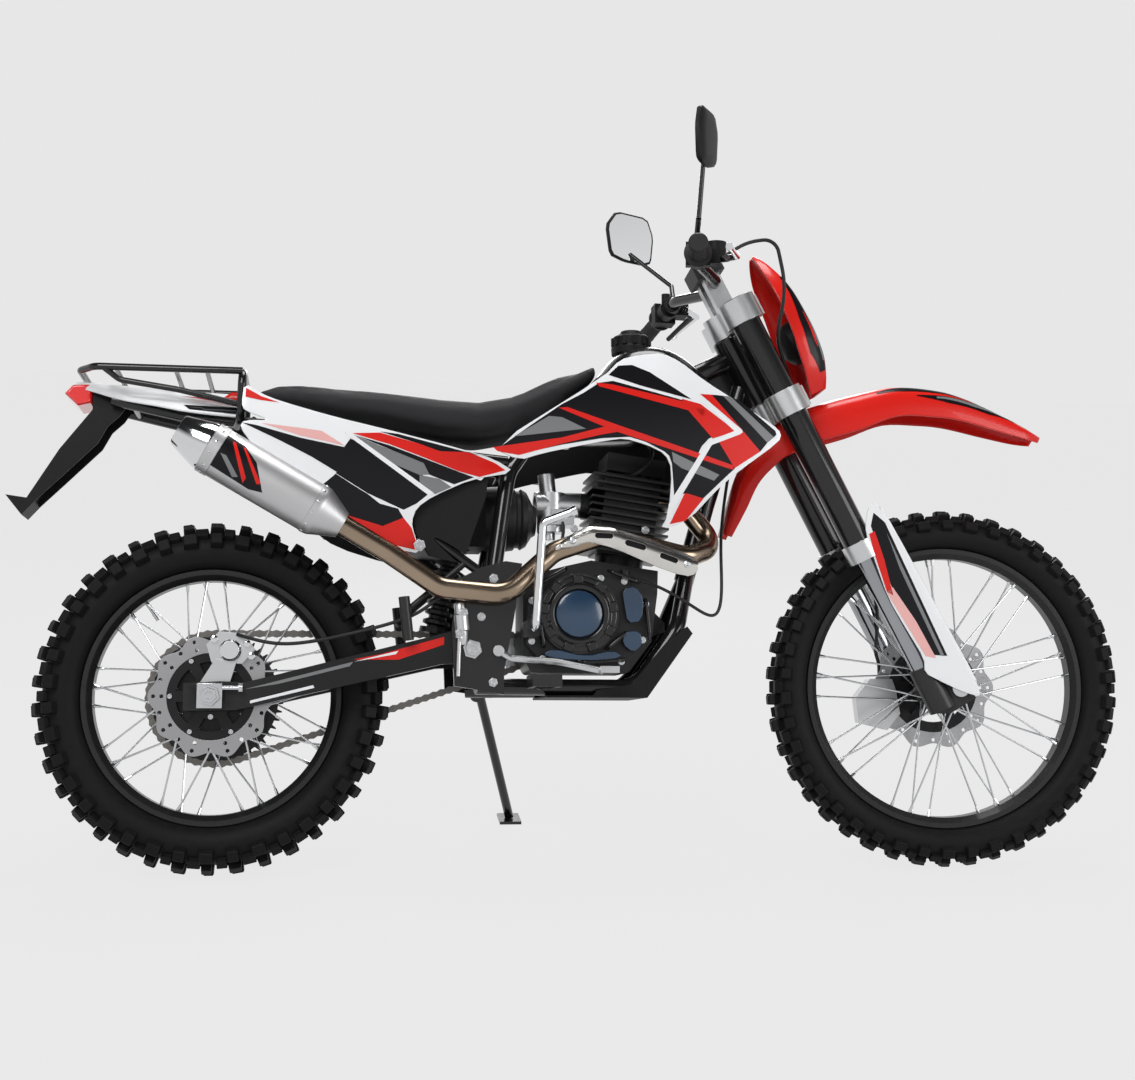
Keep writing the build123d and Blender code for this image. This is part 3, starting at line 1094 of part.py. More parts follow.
# Rear brake: the caliper and its carrier on the axle, and the master cylinder by the pedal
rear_caliper_outline = [(0, 60), (-10, 92), (12, 116), (58, 112), (76, 84), (54, 58)]
carrier_outline = [(-22, -20), (20, -20), (44, 62), (6, 66), (-22, 20)]
rear_brake = plate(from_axle(rear_caliper_outline, REAR_AXLE), REAR_DISC_Y + 14, -ARM_IN + 1)
rear_brake -= cyl_y(REAR_DISC + DISC_GAP, REAR_DISC_Y - 5, REAR_DISC_Y + 5, REAR_AXLE)
rear_brake += plate(from_axle(carrier_outline, REAR_AXLE), -ARM_IN + 0.3, -ARM_IN + 5)
rear_brake -= cyl_y(REAR_AXLE_RADIUS, -140, 0, REAR_AXLE)
MASTER_Y = -PLATE_Y - PLATE_THICKNESS - 9
master = rod((438, MASTER_Y, 430), (443, MASTER_Y, 484), 9) + rod((436, MASTER_Y, 362), (438, MASTER_Y, 431), 4)
keep("rear_caliper", rear_brake, master)

# Steering and leaning the bike

STEERED = ["front_tyre", "front_rim", "front_spokes", "front_hub", "front_disc", "triple_clamps", "fork_tubes",
           "fork_stanchions", "fork_feet", "front_axle", "fork_guards", "guard_brackets", "front_caliper",
           "handlebar", "grips", "controls", "bar_pad", "mirrors", "headlight_mask", "headlight", "front_fender",
           "front_brake_hose"]
for name in pieces:
    if name in STEERED:
        pieces[name] = turned * pieces[name]
    pieces[name] = ground * pieces[name]

everything = Compound([s for shape in pieces.values() for s in shape.solids()])
box = everything.bounding_box()
shift = Pos(-(box.min.X + box.max.X) / 2, -(box.min.Y + box.max.Y) / 2, 0)
os.makedirs("parts", exist_ok=True)
for name, shape in pieces.items():
    export_step(shift * shape, f"parts/{name}.step")
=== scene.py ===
"""Looks for a light enduro motorcycle that leans on its side stand.

Shapes are given in the bike's own upright frame, in millimetres: X forward from the rear axle,
Y to the left and Z up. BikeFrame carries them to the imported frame, in metres.
"""

import json
import logging
import math
from dataclasses import dataclass
from enum import Enum, IntEnum
from typing import Callable, Dict, List, Sequence, Tuple, Union

import bmesh
import bpy
from mathutils import Matrix, Vector


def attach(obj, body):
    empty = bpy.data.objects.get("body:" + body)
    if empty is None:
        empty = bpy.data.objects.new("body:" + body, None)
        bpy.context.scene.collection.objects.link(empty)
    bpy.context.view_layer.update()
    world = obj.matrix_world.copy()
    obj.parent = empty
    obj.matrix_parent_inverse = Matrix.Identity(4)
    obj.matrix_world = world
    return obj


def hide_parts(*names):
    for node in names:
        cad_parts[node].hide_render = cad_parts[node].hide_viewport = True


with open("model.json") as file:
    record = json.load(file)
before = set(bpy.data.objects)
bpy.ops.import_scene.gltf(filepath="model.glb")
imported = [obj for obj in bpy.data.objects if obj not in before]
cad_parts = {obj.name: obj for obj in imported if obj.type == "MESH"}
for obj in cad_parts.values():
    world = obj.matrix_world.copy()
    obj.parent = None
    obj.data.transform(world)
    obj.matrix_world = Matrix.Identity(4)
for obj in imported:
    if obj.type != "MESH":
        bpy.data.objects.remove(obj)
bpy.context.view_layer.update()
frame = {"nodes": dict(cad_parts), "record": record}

log = logging.getLogger("scene")
logging.basicConfig(level=logging.INFO, format="%(name)s: %(message)s")

MM = 0.001
Point2 = Tuple[float, float]
Point3 = Tuple[float, float, float]
Colour = Tuple[float, float, float]
Row = Tuple[float, ...]
Outline = Sequence[Point2]
Height = Callable[[float, float], float]
Place = Callable[[Row, float, float], Vector]

# The stance of part.py that the shapes here repeat
WHEELBASE = 1387.0
FRONT_AXLE_HEIGHT = 351.0
REAR_AXLE_HEIGHT = 326.0
RAKE = math.radians(27.0)
AXLE_LEAD = 42.0
STEER = math.radians(-5.5)
# The handlebar's middle, up the fork and forward of its line
BAR = (898, -4)

# Faces that meet at less than this are shaded as one
SMOOTH_ANGLE = math.radians(38)
UP = Vector((0, 0, 1))
RIGHT = Vector((0, -1, 0))


class Body(Enum):
    """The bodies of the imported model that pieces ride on."""

    CHASSIS = "chassis"
    STEERING = "steering_head"
    FRONT_WHEEL = "front_wheel"
    REAR_WHEEL = "rear_wheel"
    STAND = "side_stand"


class Side(IntEnum):
    """The bike's sides, as the sign of Y there."""

    RIGHT = -1
    LEFT = 1

    @property
    def label(self) -> str:
        """The side's name in a piece's name."""
        return self.name.lower()


STEERED = (Body.STEERING, Body.FRONT_WHEEL)


class BikeFrame:
    """Carries points of the upright, straight-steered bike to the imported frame."""

    def __init__(self, record: dict) -> None:
        """Work out the lean and the steering from the record's joints.

        Args:
            record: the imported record.
        """
        joints = {joint["name"]: joint for joint in record["behaviour"]["joints"]}
        axle, stem = joints["rear_wheel_spin"], joints["steering"]
        side = Vector(axle["axis"]).normalized()
        forward = (Vector((1, 0, 0)) - side * side.x).normalized()
        turned = Matrix((forward, side, forward.cross(side))).transposed()
        origin = Vector(axle["pos_m"]) - turned @ Vector((0, 0, REAR_AXLE_HEIGHT * MM))
        upright = Matrix.Translation(origin) @ turned.to_4x4() @ Matrix.Scale(MM, 4)
        pivot = Vector(stem["pos_m"])
        turn = Matrix.Rotation(STEER, 4, Vector(stem["axis"]))
        steered = Matrix.Translation(pivot) @ turn @ Matrix.Translation(-pivot) @ upright
        self.matrices = {body: steered if body in STEERED else upright for body in Body}

    def matrix(self, body: Body) -> Matrix:
        """The matrix from the bike's millimetres to the frame's metres for a body."""
        return self.matrices[body]


BIKE = BikeFrame(frame["record"])


def fork(s: float, q: float, y: float) -> Vector:
    """A point of the steered assembly.

    Args:
        s: how far up the fork from the front axle.
        q: how far forward of the fork's line.
        y: how far to the left.

    Returns:
        The point, on the bike with its steering straight.
    """
    forward = q - AXLE_LEAD
    return Vector((
        WHEELBASE - s * math.sin(RAKE) + forward * math.cos(RAKE),
        y,
        FRONT_AXLE_HEIGHT + s * math.cos(RAKE) + forward * math.sin(RAKE),
    ))


# Finishes


@dataclass(frozen=True)
class Finish:
    """How a surface looks.

    Grain is given in bumps per metre, and strengths run from 0 to 1.
    """

    name: str
    colour: Colour
    roughness: float = 0.5
    metallic: float = 0.0
    coat: float = 0.0
    grain: float = 300.0
    grain_strength: float = 0.05
    variation: float = 0.12
    wear: float = 0.0
    dust: float = 0.06
    rounding: float = 0.0
    sheen: float = 0.0
    brushed: float = 0.0
    specular: float = 0.5
    transmission: float = 0.0
    emission: float = 0.0


RED = (0.66, 0.010, 0.005)
WHITE = (0.82, 0.83, 0.85)
GREY = (0.17, 0.175, 0.18)

RUBBER = Finish(
    "tyre_rubber", (0.007, 0.007, 0.008), 0.55, grain=420, grain_strength=0.25, dust=0.03, specular=0.12)
SOFT_RUBBER = Finish(
    "soft_rubber", (0.010, 0.010, 0.011), 0.45, grain=500, grain_strength=0.1, rounding=1.0, specular=0.3)
VINYL = Finish(
    "seat_vinyl", (0.024, 0.024, 0.026), 0.6, grain=900, grain_strength=0.35, sheen=0.05, dust=0.01,
    specular=0.15)
WHITE_PLASTIC = Finish(
    "white_plastic", WHITE, 0.28, coat=0.3, grain_strength=0.01, variation=0.03, dust=0.02)
RED_PLASTIC = Finish(
    "red_plastic", RED, 0.3, coat=0.2, grain_strength=0.01, variation=0.06, dust=0.01, specular=0.3)
PINK_PLASTIC = Finish("faded_red", (0.80, 0.42, 0.40), 0.3, coat=0.5, grain_strength=0.01, variation=0.05)
GREY_PLASTIC = Finish("grey_print", GREY, 0.3, coat=0.5, grain_strength=0.01, variation=0.2)
# Black print. The same black also makes painted shade: the sheets behind the shield's slots and a strip on
# the front fender.
BLACK_PRINT_AND_SHADE = Finish(
    "black_print_and_shade", (0.006, 0.006, 0.008), 0.3, coat=0.06, grain_strength=0.01, dust=0.01, specular=0.16)
# Black plastic. The same black also makes the sheets of painted shade inside the panels.
BLACK_PLASTIC_AND_SHADE = Finish(
    "black_plastic", (0.008, 0.008, 0.009), 0.5, grain=1200, grain_strength=0.2, rounding=1.2, dust=0.02,
    specular=0.16)
GLOSS_BLACK = Finish(
    "gloss_black", (0.006, 0.006, 0.007), 0.2, coat=0.4, grain_strength=0.01, rounding=1.0, dust=0.02,
    specular=0.3)
SATIN_BLACK = Finish(
    "satin_black", (0.009, 0.009, 0.010), 0.34, coat=0.15, wear=0.1, rounding=1.0, dust=0.02, specular=0.2)
ENGINE_BLACK = Finish(
    "engine_black", (0.009, 0.009, 0.010), 0.34, grain=900, grain_strength=0.12, wear=0.12, rounding=0.9,
    dust=0.02, specular=0.3)
BLUE_COVER = Finish(
    "blue_cover", (0.012, 0.040, 0.085), 0.16, coat=0.3, grain=60, grain_strength=0.06, variation=0.9,
    specular=0.5)
CAST_ALLOY = Finish(
    "cast_alloy", (0.60, 0.61, 0.62), 0.32, 1.0, grain=700, grain_strength=0.08, wear=0.2, rounding=1.2)
STEEL = Finish("bright_steel", (0.60, 0.61, 0.63), 0.22, 1.0, grain_strength=0.04, rounding=0.5)
DISC_STEEL = Finish(
    "disc_steel", (0.40, 0.40, 0.41), 0.24, 1.0, grain_strength=0.05, brushed=0.5, rounding=0.5)
STANCHION = Finish("stanchion_chrome", (0.34, 0.35, 0.37), 0.12, 1.0, grain_strength=0.0, rounding=0.8)
CHROME = Finish("chrome", (0.72, 0.73, 0.75), 0.10, 1.0, grain_strength=0.01, rounding=0.8)
SHIELD_STEEL = Finish(
    "shield_steel", (0.70, 0.68, 0.65), 0.2, 1.0, grain_strength=0.02, variation=0.4, brushed=0.4)
BRUSHED = Finish(
    "brushed_can", (0.56, 0.56, 0.57), 0.30, 1.0, grain_strength=0.03, brushed=0.8, variation=0.08)
HOT_STEEL = Finish(
    "heated_steel", (0.34, 0.26, 0.19), 0.24, 1.0, grain=60, grain_strength=0.02, variation=0.55)
CHAIN_STEEL = Finish("chain_steel", (0.20, 0.19, 0.18), 0.38, 1.0, grain_strength=0.1, dust=0.15)
FOAM_COVER = Finish(
    "bar_foam", (0.010, 0.010, 0.011), 0.65, grain=1500, grain_strength=0.4, sheen=0.08, specular=0.3)
RED_LENS = Finish(
    "red_lens", (0.70, 0.012, 0.012), 0.12, coat=1.0, grain_strength=0.0, variation=0.1, emission=0.15)
CLEAR_LENS = Finish("clear_lens", (0.92, 0.94, 0.96), 0.04, coat=1.0, grain_strength=0.0, transmission=0.9)
MIRROR_GLASS = Finish(
    "mirror_glass", (0.97, 0.98, 1.0), 0.03, 1.0, grain_strength=0.0, variation=0.02, dust=0.01)
YELLOW_TANK = Finish("fluid_tank", (0.52, 0.46, 0.12), 0.3, coat=0.5)


Value = Union[float, Sequence[float], bpy.types.NodeSocket]


class Graph:
    """A node tree in the making."""

    def __init__(self, tree: bpy.types.NodeTree) -> None:
        """Keep the tree."""
        self.tree = tree

    def put(self, socket: bpy.types.NodeSocket, value: Value) -> None:
        """Set an input, or link another node's output to it.

        Args:
            socket: the input.
            value: a constant or an output.
        """
        if isinstance(value, bpy.types.NodeSocket):
            self.tree.links.new(value, socket)
        else:
            socket.default_value = value

    def feed(self, node: bpy.types.Node, inputs: Dict[Union[int, str], Value]) -> bpy.types.Node:
        """Set or link a node's inputs.

        Args:
            node: the node.
            inputs: what each input gets, by its name or place.

        Returns:
            The node.
        """
        for key, value in inputs.items():
            self.put(node.inputs[key], value)
        return node

    def add(self, kind: str, **inputs: Value) -> bpy.types.Node:
        """Add a node.

        Args:
            kind: its type, without ShaderNode.
            inputs: what its inputs get, with underscores for the spaces in their names.

        Returns:
            The node.
        """
        node = self.tree.nodes.new(f"ShaderNode{kind}")
        return self.feed(node, {label.replace("_", " "): value for label, value in inputs.items()})

    def calculate(self, operation: str, *values: Value) -> bpy.types.NodeSocket:
        """The result of a math node.

        Args:
            operation: what it does.
            values: its inputs in their order.

        Returns:
            Its output.
        """
        node = self.add("Math")
        node.operation = operation
        return self.feed(node, dict(enumerate(values))).outputs[0]

    def mix(self, first: Value, second: Value, factor: bpy.types.NodeSocket) -> bpy.types.NodeSocket:
        """Mix two colours by a mask.

        Args:
            first: the colour where the mask is 0.
            second: the colour where it is 1.
            factor: the mask.

        Returns:
            The mixed colour.
        """
        node = self.add("Mix", Factor=factor)
        node.data_type = "RGBA"
        for socket, value in zip((s for s in node.inputs if s.type == "RGBA"), (first, second)):
            self.put(socket, value)
        return next(s for s in node.outputs if s.type == "RGBA")

    def mix_shaders(self, first: bpy.types.Node, second: bpy.types.Node,
                    factor: Value) -> bpy.types.NodeSocket:
        """Mix two shaders by a mask.

        Args:
            first: the shader where the mask is 0.
            second: the shader where it is 1.
            factor: the mask.

        Returns:
            The mixed shader.
        """
        node = self.add("MixShader")
        return self.feed(node, {0: factor, 1: first.outputs[0], 2: second.outputs[0]}).outputs[0]


class EffectGroup(Graph):
    """A node group that finishes share. It gives one mask, value or normal."""

    def __init__(self, name: str, inputs: Dict[str, float], output: str) -> None:
        """Make the empty group with its sockets.

        Args:
            name: the group's name.
            inputs: each input and its default. Normal is a vector and has none.
            output: the output's name.
        """
        super().__init__(bpy.data.node_groups.new(name, "ShaderNodeTree"))
        for label, default in inputs.items():
            socket = self._socket(label, "INPUT")
            if label != "Normal":
                socket.default_value = default
        self._socket(output, "OUTPUT")
        self.given = self.tree.nodes.new("NodeGroupInput").outputs
        self.out = self.tree.nodes.new("NodeGroupOutput").inputs[output]

    def _socket(self, label: str, direction: str) -> bpy.types.NodeTreeInterfaceSocket:
        """A new socket of the group's interface: a vector for a normal, and else a number."""
        kind = "NodeSocketVector" if label == "Normal" else "NodeSocketFloat"
        return self.tree.interface.new_socket(label, in_out=direction, socket_type=kind)

    def noise(self, **inputs: Value) -> bpy.types.NodeSocket:
        """Noise fixed to the object."""
        place = self.add("TexCoord").outputs["Object"]
        return self.add("TexNoise", Vector=place, **inputs).outputs["Fac"]

    def close(self, result: bpy.types.NodeSocket) -> bpy.types.NodeTree:
        """Put out the result, and give the finished tree."""
        self.put(self.out, result)
        return self.tree


def edge_wear() -> bpy.types.NodeTree:
    """A mask of the sharp outer edges, broken up by noise."""
    group = EffectGroup("edge_wear", {"Amount": 0.2}, "Mask")
    pointiness = group.add("NewGeometry").outputs["Pointiness"]
    edge = group.add("MapRange", Value=pointiness, From_Min=0.53, From_Max=0.62).outputs["Result"]
    noise = group.add("TexNoise", Scale=160.0).outputs["Fac"]
    broken = group.calculate("MULTIPLY", edge, noise)
    return group.close(group.calculate("MULTIPLY", broken, group.given["Amount"]))


def mottle() -> bpy.types.NodeTree:
    """A slow change of brightness over the surface."""
    group = EffectGroup("mottle", {"Amount": 0.1, "Scale": 9.0}, "Value")
    centred = group.calculate("SUBTRACT", group.noise(Scale=group.given["Scale"], Detail=5.0), 0.5)
    spread = group.calculate("MULTIPLY", centred, group.given["Amount"])
    return group.close(group.calculate("ADD", spread, 1.0))


def grain() -> bpy.types.NodeTree:
    """A fine moulded or cast grain, laid over a normal."""
    group = EffectGroup("grain", {"Scale": 400.0, "Strength": 0.1, "Normal": 0.0}, "Normal")
    noise = group.noise(Scale=group.given["Scale"], Detail=3.0)
    bump = group.add("Bump", Distance=0.0006, Height=noise, Strength=group.given["Strength"],
                     Normal=group.given["Normal"])
    return group.close(bump.outputs["Normal"])


def dust() -> bpy.types.NodeTree:
    """A thin dust mask, thicker on faces that look up."""
    group = EffectGroup("dust", {"Amount": 0.05}, "Mask")
    split = group.feed(group.add("SeparateXYZ"), {0: group.add("NewGeometry").outputs["Normal"]})
    up = group.add("MapRange", Value=split.outputs["Z"], From_Min=-0.2, To_Min=0.35).outputs["Result"]
    noise = group.add("TexNoise", Scale=35.0, Detail=8.0).outputs["Fac"]
    return group.close(group.calculate("MULTIPLY", group.calculate("MULTIPLY", up, noise),
                                       group.given["Amount"]))


def brushing() -> bpy.types.NodeTree:
    """Fine parallel scratches as a change of roughness."""
    group = EffectGroup("brushing", {"Roughness": 0.3, "Amount": 0.5}, "Roughness")
    place = group.add("TexCoord").outputs["Object"]
    stretch = group.add("Mapping", Vector=place, Scale=(25.0, 900.0, 900.0)).outputs["Vector"]
    noise = group.add("TexNoise", Vector=stretch, Scale=1.0).outputs["Fac"]
    spread = group.calculate("MULTIPLY", noise, group.given["Amount"])
    plain = group.given["Roughness"]
    return group.close(group.calculate("MULTIPLY_ADD", spread, plain, plain))


class Finishes:
    """Makes each finish's material once and hands it out."""

    DUST_COLOUR = (0.30, 0.28, 0.25, 1.0)
    COAT_ROUGHNESS = 0.06
    MOTTLE_SCALE = 9.0
    # How much paler than the finish a worn edge is
    WORN_LIFT = 0.35
    BEVEL_SAMPLES = 4

    def __init__(self) -> None:
        """Start with the shared effect groups and no materials."""
        self.groups = {make.__name__: make() for make in (edge_wear, mottle, grain, dust, brushing)}
        self.made: Dict[str, bpy.types.Material] = {}

    def get(self, finish: Finish) -> bpy.types.Material:
        """The material of a finish, made on first use.

        Args:
            finish: the finish.

        Returns:
            Its material.
        """
        if finish.name not in self.made:
            self.made[finish.name] = self._make(finish)
        return self.made[finish.name]

    def _use(self, graph: Graph, group: str, **values: Value) -> bpy.types.NodeSocket:
        """Use a shared group in a material.

        Args:
            graph: the material's tree.
            group: the group's name.
            values: the group's inputs.

        Returns:
            What the group puts out.
        """
        node = graph.add("Group")
        node.node_tree = self.groups[group]
        return graph.feed(node, values).outputs[0]

    def _make(self, finish: Finish) -> bpy.types.Material:
        """Build one material: mottled colour, dust, worn edges, grain and brushing.

        Args:
            finish: the finish.

        Returns:
            Its material.
        """
        material = bpy.data.materials.new(f"{finish.name}_finish")
        material.use_nodes = True
        graph = Graph(material.node_tree)
        shader = graph.feed(material.node_tree.nodes["Principled BSDF"], {
            "Metallic": finish.metallic, "Roughness": finish.roughness, "Coat Weight": finish.coat,
            "Coat Roughness": self.COAT_ROUGHNESS, "Sheen Weight": finish.sheen,
            "Specular IOR Level": finish.specular, "Transmission Weight": finish.transmission})
        if finish.emission:
            graph.feed(shader, {"Emission Color": (*finish.colour, 1),
                                "Emission Strength": finish.emission})

        tint = graph.add("VectorMath")
        tint.operation = "SCALE"
        brightness = self._use(graph, "mottle", Amount=finish.variation, Scale=self.MOTTLE_SCALE)
        graph.feed(tint, {0: finish.colour, "Scale": brightness})
        colour = graph.mix(tint.outputs[0], self.DUST_COLOUR, self._use(graph, "dust", Amount=finish.dust))
        if finish.wear:
            worn = tuple(min(1.0, self.WORN_LIFT + channel) for channel in finish.colour) + (1.0,)
            colour = graph.mix(colour, worn, self._use(graph, "edge_wear", Amount=finish.wear))
        graph.feed(shader, {"Base Color": colour})

        normal = None
        if finish.rounding:
            rounding = graph.add("Bevel", Radius=finish.rounding * MM)
            rounding.samples = self.BEVEL_SAMPLES
            normal = rounding.outputs["Normal"]
        if finish.grain_strength:
            under = normal or graph.add("NewGeometry").outputs["Normal"]
            normal = self._use(graph, "grain", Scale=finish.grain, Strength=finish.grain_strength,
                               Normal=under)
        if normal:
            graph.feed(shader, {"Normal": normal})
        if finish.brushed:
            graph.feed(shader, {"Roughness": self._use(graph, "brushing", Roughness=finish.roughness,
                                                       Amount=finish.brushed)})
        return material


FINISHES = Finishes()


# Making pieces


def link_object(name: str, data: bpy.types.ID) -> bpy.types.Object:
    """Make an object and put it into the scene.

    Args:
        name: its name.
        data: its mesh, curve, light or camera.

    Returns:
        The object.
    """
    made = bpy.data.objects.new(name, data)
    bpy.context.scene.collection.objects.link(made)
    return made


def curve_mesh(name: str, curve: bpy.types.Curve) -> bpy.types.Mesh:
    """The mesh of a curve with its bevel.

    Args:
        name: the mesh's name.
        curve: the curve.

    Returns:
        The mesh.
    """
    holder = link_object(name, curve)
    graph = bpy.context.evaluated_depsgraph_get()
    mesh = bpy.data.meshes.new_from_object(holder.evaluated_get(graph))
    bpy.data.objects.remove(holder)
    return mesh


class Shape:
    """A mesh in the making, in the bike's millimetres."""

    def __init__(self) -> None:
        """Start with nothing."""
        self.points: List[Vector] = []
        self.faces: List[List[int]] = []

    def add(self, points: Sequence[Vector], faces: Sequence[Sequence[int]]) -> None:
        """Add points and the faces between them.

        Args:
            points: the points.
            faces: the faces, as places among these points.
        """
        start = len(self.points)
        self.points += [Vector(p) for p in points]
        self.faces += [[start + i for i in face] for face in faces]

    def grid(self, rows: Sequence[Sequence[Vector]], closed: bool = False, looped: bool = False,
             caps: bool = False) -> None:
        """Skin rows of points.

        Args:
            rows: the rows, each with as many points.
            closed: join each row's last point to its first.
            looped: join the last row to the first.
            caps: close the first and last row with a face.
        """
        count, width = len(rows), len(rows[0])
        points = [p for row in rows for p in row]
        faces = []
        for i in range(count if looped else count - 1):
            for j in range(width if closed else width - 1):
                a, b = i * width, ((i + 1) % count) * width
                k = (j + 1) % width
                faces.append([a + j, a + k, b + k, b + j])
        if caps:
            faces += [list(reversed(range(width))), list(range((count - 1) * width, count * width))]
        self.add(points, faces)

    def lathe(self, profile: Sequence[Point2], origin: Vector, axis: Vector, segments: int = 32) -> None:
        """Turn a profile about an axis.

        Args:
            profile: distance along the axis and radius of each point.
            origin: where the distance is nought.
            axis: the axis.
            segments: how many steps round.
        """
        axis = axis.normalized()
        across = axis.orthogonal().normalized()
        other = axis.cross(across)
        rows = []
        for along, radius in profile:
            rows.append([origin + axis * along
                         + (across * math.cos(a) + other * math.sin(a)) * radius
                         for a in (2 * math.pi * k / segments for k in range(segments))])
        self.grid(rows, closed=True)

    def box(self, centre: Vector, along: Vector, across: Vector, up: Vector, shrink: float = 1.0) -> None:
        """A block.

        Args:
            centre: its middle.
            along: half its length.
            across: half its width.
            up: half its height, towards its top.
            shrink: the share of its length and width that its top has.
        """
        points = []
        for level, size in ((-1, 1.0), (1, shrink)):
            for a, b in ((-1, -1), (1, -1), (1, 1), (-1, 1)):
                points.append(centre + along * a * size + across * b * size + up * level)
        self.add(points, [(3, 2, 1, 0), (4, 5, 6, 7), (0, 1, 5, 4), (1, 2, 6, 5), (2, 3, 7, 6),
                          (3, 0, 4, 7)])

    def build(self, name: str, body: Body, finish: Finish, smooth: bool = True) -> bpy.types.Object:
        """Make the object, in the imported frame, riding on its body.

        Args:
            name: the piece's name.
            body: the body it rides on.
            finish: its finish.
            smooth: shade it smooth, apart from its sharp edges.

        Returns:
            The new object.
        """
        matrix = BIKE.matrix(body)
        mesh = bpy.data.meshes.new(name)
        mesh.from_pydata([matrix @ p for p in self.points], [], self.faces)
        work = bmesh.new()
        work.from_mesh(mesh)
        bmesh.ops.recalc_face_normals(work, faces=work.faces)
        work.to_mesh(mesh)
        work.free()
        if smooth:
            mesh.polygons.foreach_set("use_smooth", [True] * len(mesh.polygons))
            mesh.set_sharp_from_angle(angle=SMOOTH_ANGLE)
        mesh.materials.append(FINISHES.get(finish))
        piece = link_object(name, mesh)
        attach(piece, body.value)
        return piece


def bevel(piece: bpy.types.Object, width: float, segments: int = 2, angle: float = 32.0) -> None:
    """Round a piece's sharp edges.

    Args:
        piece: the piece.
        width: the rounding's width, in millimetres.
        segments: its steps.
        angle: how sharp an edge has to be, in degrees.
    """
    modifier = piece.modifiers.new("rounding", "BEVEL")
    modifier.width = width * MM
    modifier.segments = segments
    modifier.limit_method = "ANGLE"
    modifier.angle_limit = math.radians(angle)


def thicken(piece: bpy.types.Object, wall: float, offset: float = -1.0) -> None:
    """Give a sheet its wall.

    Args:
        piece: the sheet.
        wall: its thickness, in millimetres.
        offset: -1 inwards, 0 to both sides.
    """
    modifier = piece.modifiers.new("wall", "SOLIDIFY")
    modifier.thickness = wall * MM
    modifier.offset = offset
    modifier.use_even_offset = True


def subdivide(piece: bpy.types.Object, levels: int = 2) -> None:
    """Smooth a control mesh."""
    modifier = piece.modifiers.new("smoothing", "SUBSURF")
    modifier.levels = modifier.render_levels = levels


def stand_for(piece: bpy.types.Object, *nodes: str) -> bpy.types.Object:
    """Let a piece replace CAD nodes, which are hidden.

    Args:
        piece: the piece.
        nodes: the CAD nodes.

    Returns:
        The piece.
    """
    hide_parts(*nodes)
    return piece


def dress(node: str, finish: Finish) -> None:
    """Give a CAD node that stays its finish."""
    for slot in frame["nodes"][node].material_slots:
        slot.material = FINISHES.get(finish)


def rounded(outline: Sequence[Point2], rounds: int = 1, share: float = 0.22) -> List[Point2]:
    """Cut an outline's corners a few times, which rounds them.

    Args:
        outline: the outline.
        rounds: how many times.
        share: how far along each edge the cuts start.

    Returns:
        The rounded outline.
    """
    points = list(outline)
    for _ in range(rounds):
        cut = []
        for a, b in zip(points, points[1:] + points[:1]):
            cut.append((a[0] + (b[0] - a[0]) * share, a[1] + (b[1] - a[1]) * share))
            cut.append((b[0] + (a[0] - b[0]) * share, b[1] + (a[1] - b[1]) * share))
        points = cut
    return points


@dataclass(frozen=True)
class Skin:
    """A gently curved wall on the bike's right side, which panels and their stripes are cut from.

    Sizes are part.py's: the wall's outermost Y, its bulge radius, the height of its crown, and a yaw
    about an X.
    """

    outer_y: float
    bulge: float
    crown_z: float
    yaw: float
    pivot_x: float

    def y(self, x: float, z: float) -> float:
        """The wall's Y at a place."""
        axis = self.outer_y + self.bulge + (x - self.pivot_x) * math.tan(math.radians(self.yaw))
        return axis - math.sqrt(self.bulge**2 - (z - self.crown_z)**2) / math.cos(math.radians(self.yaw))


def slice_up(work: bmesh.types.BMesh, step: float) -> None:
    """Cut a mesh along X and Z, so that it can follow a curved surface.

    Args:
        work: the mesh.
        step: the distance between the cuts.
    """
    for axis in (0, 2):
        places = [vert.co[axis] for vert in work.verts]
        at = math.ceil(min(places) / step) * step
        normal = Vector((axis == 0, 0, axis == 2))
        while at < max(places):
            everything = work.verts[:] + work.edges[:] + work.faces[:]
            bmesh.ops.bisect_plane(work, geom=everything, plane_co=normal * at, plane_no=normal)
            at += step


def sheet_shape(outline: Sequence[Point2], height: Callable[[float, float], float], step: float = 12.0,
                lift: float = 0.0, side: int = -1) -> Shape:
    """A flat outline in X and Z, cut into a grid and laid on a surface.

    Args:
        outline: the outline's points.
        height: the surface's Y on the right side at an X and Z.
        step: the grid's pitch.
        lift: how far outside the surface the sheet lies.
        side: -1 for the right, 1 for the left.

    Returns:
        The shape.
    """
    work = bmesh.new()
    work.faces.new([work.verts.new((x, 0, z)) for x, z in outline])
    slice_up(work, step)
    work.verts.index_update()
    shape = Shape()
    points = []
    for vert in work.verts:
        y = height(vert.co.x, vert.co.z) - lift
        points.append(Vector((vert.co.x, y if side < 0 else -y, vert.co.z)))
    shape.add(points, [[v.index for v in face.verts] for face in work.faces])
    work.free()
    return shape


def circle(centre: Point2, radius: float, count: int = 24) -> List[Point2]:
    """Points round a circle."""
    return [(centre[0] + radius * math.cos(2 * math.pi * k / count),
             centre[1] + radius * math.sin(2 * math.pi * k / count)) for k in range(count)]


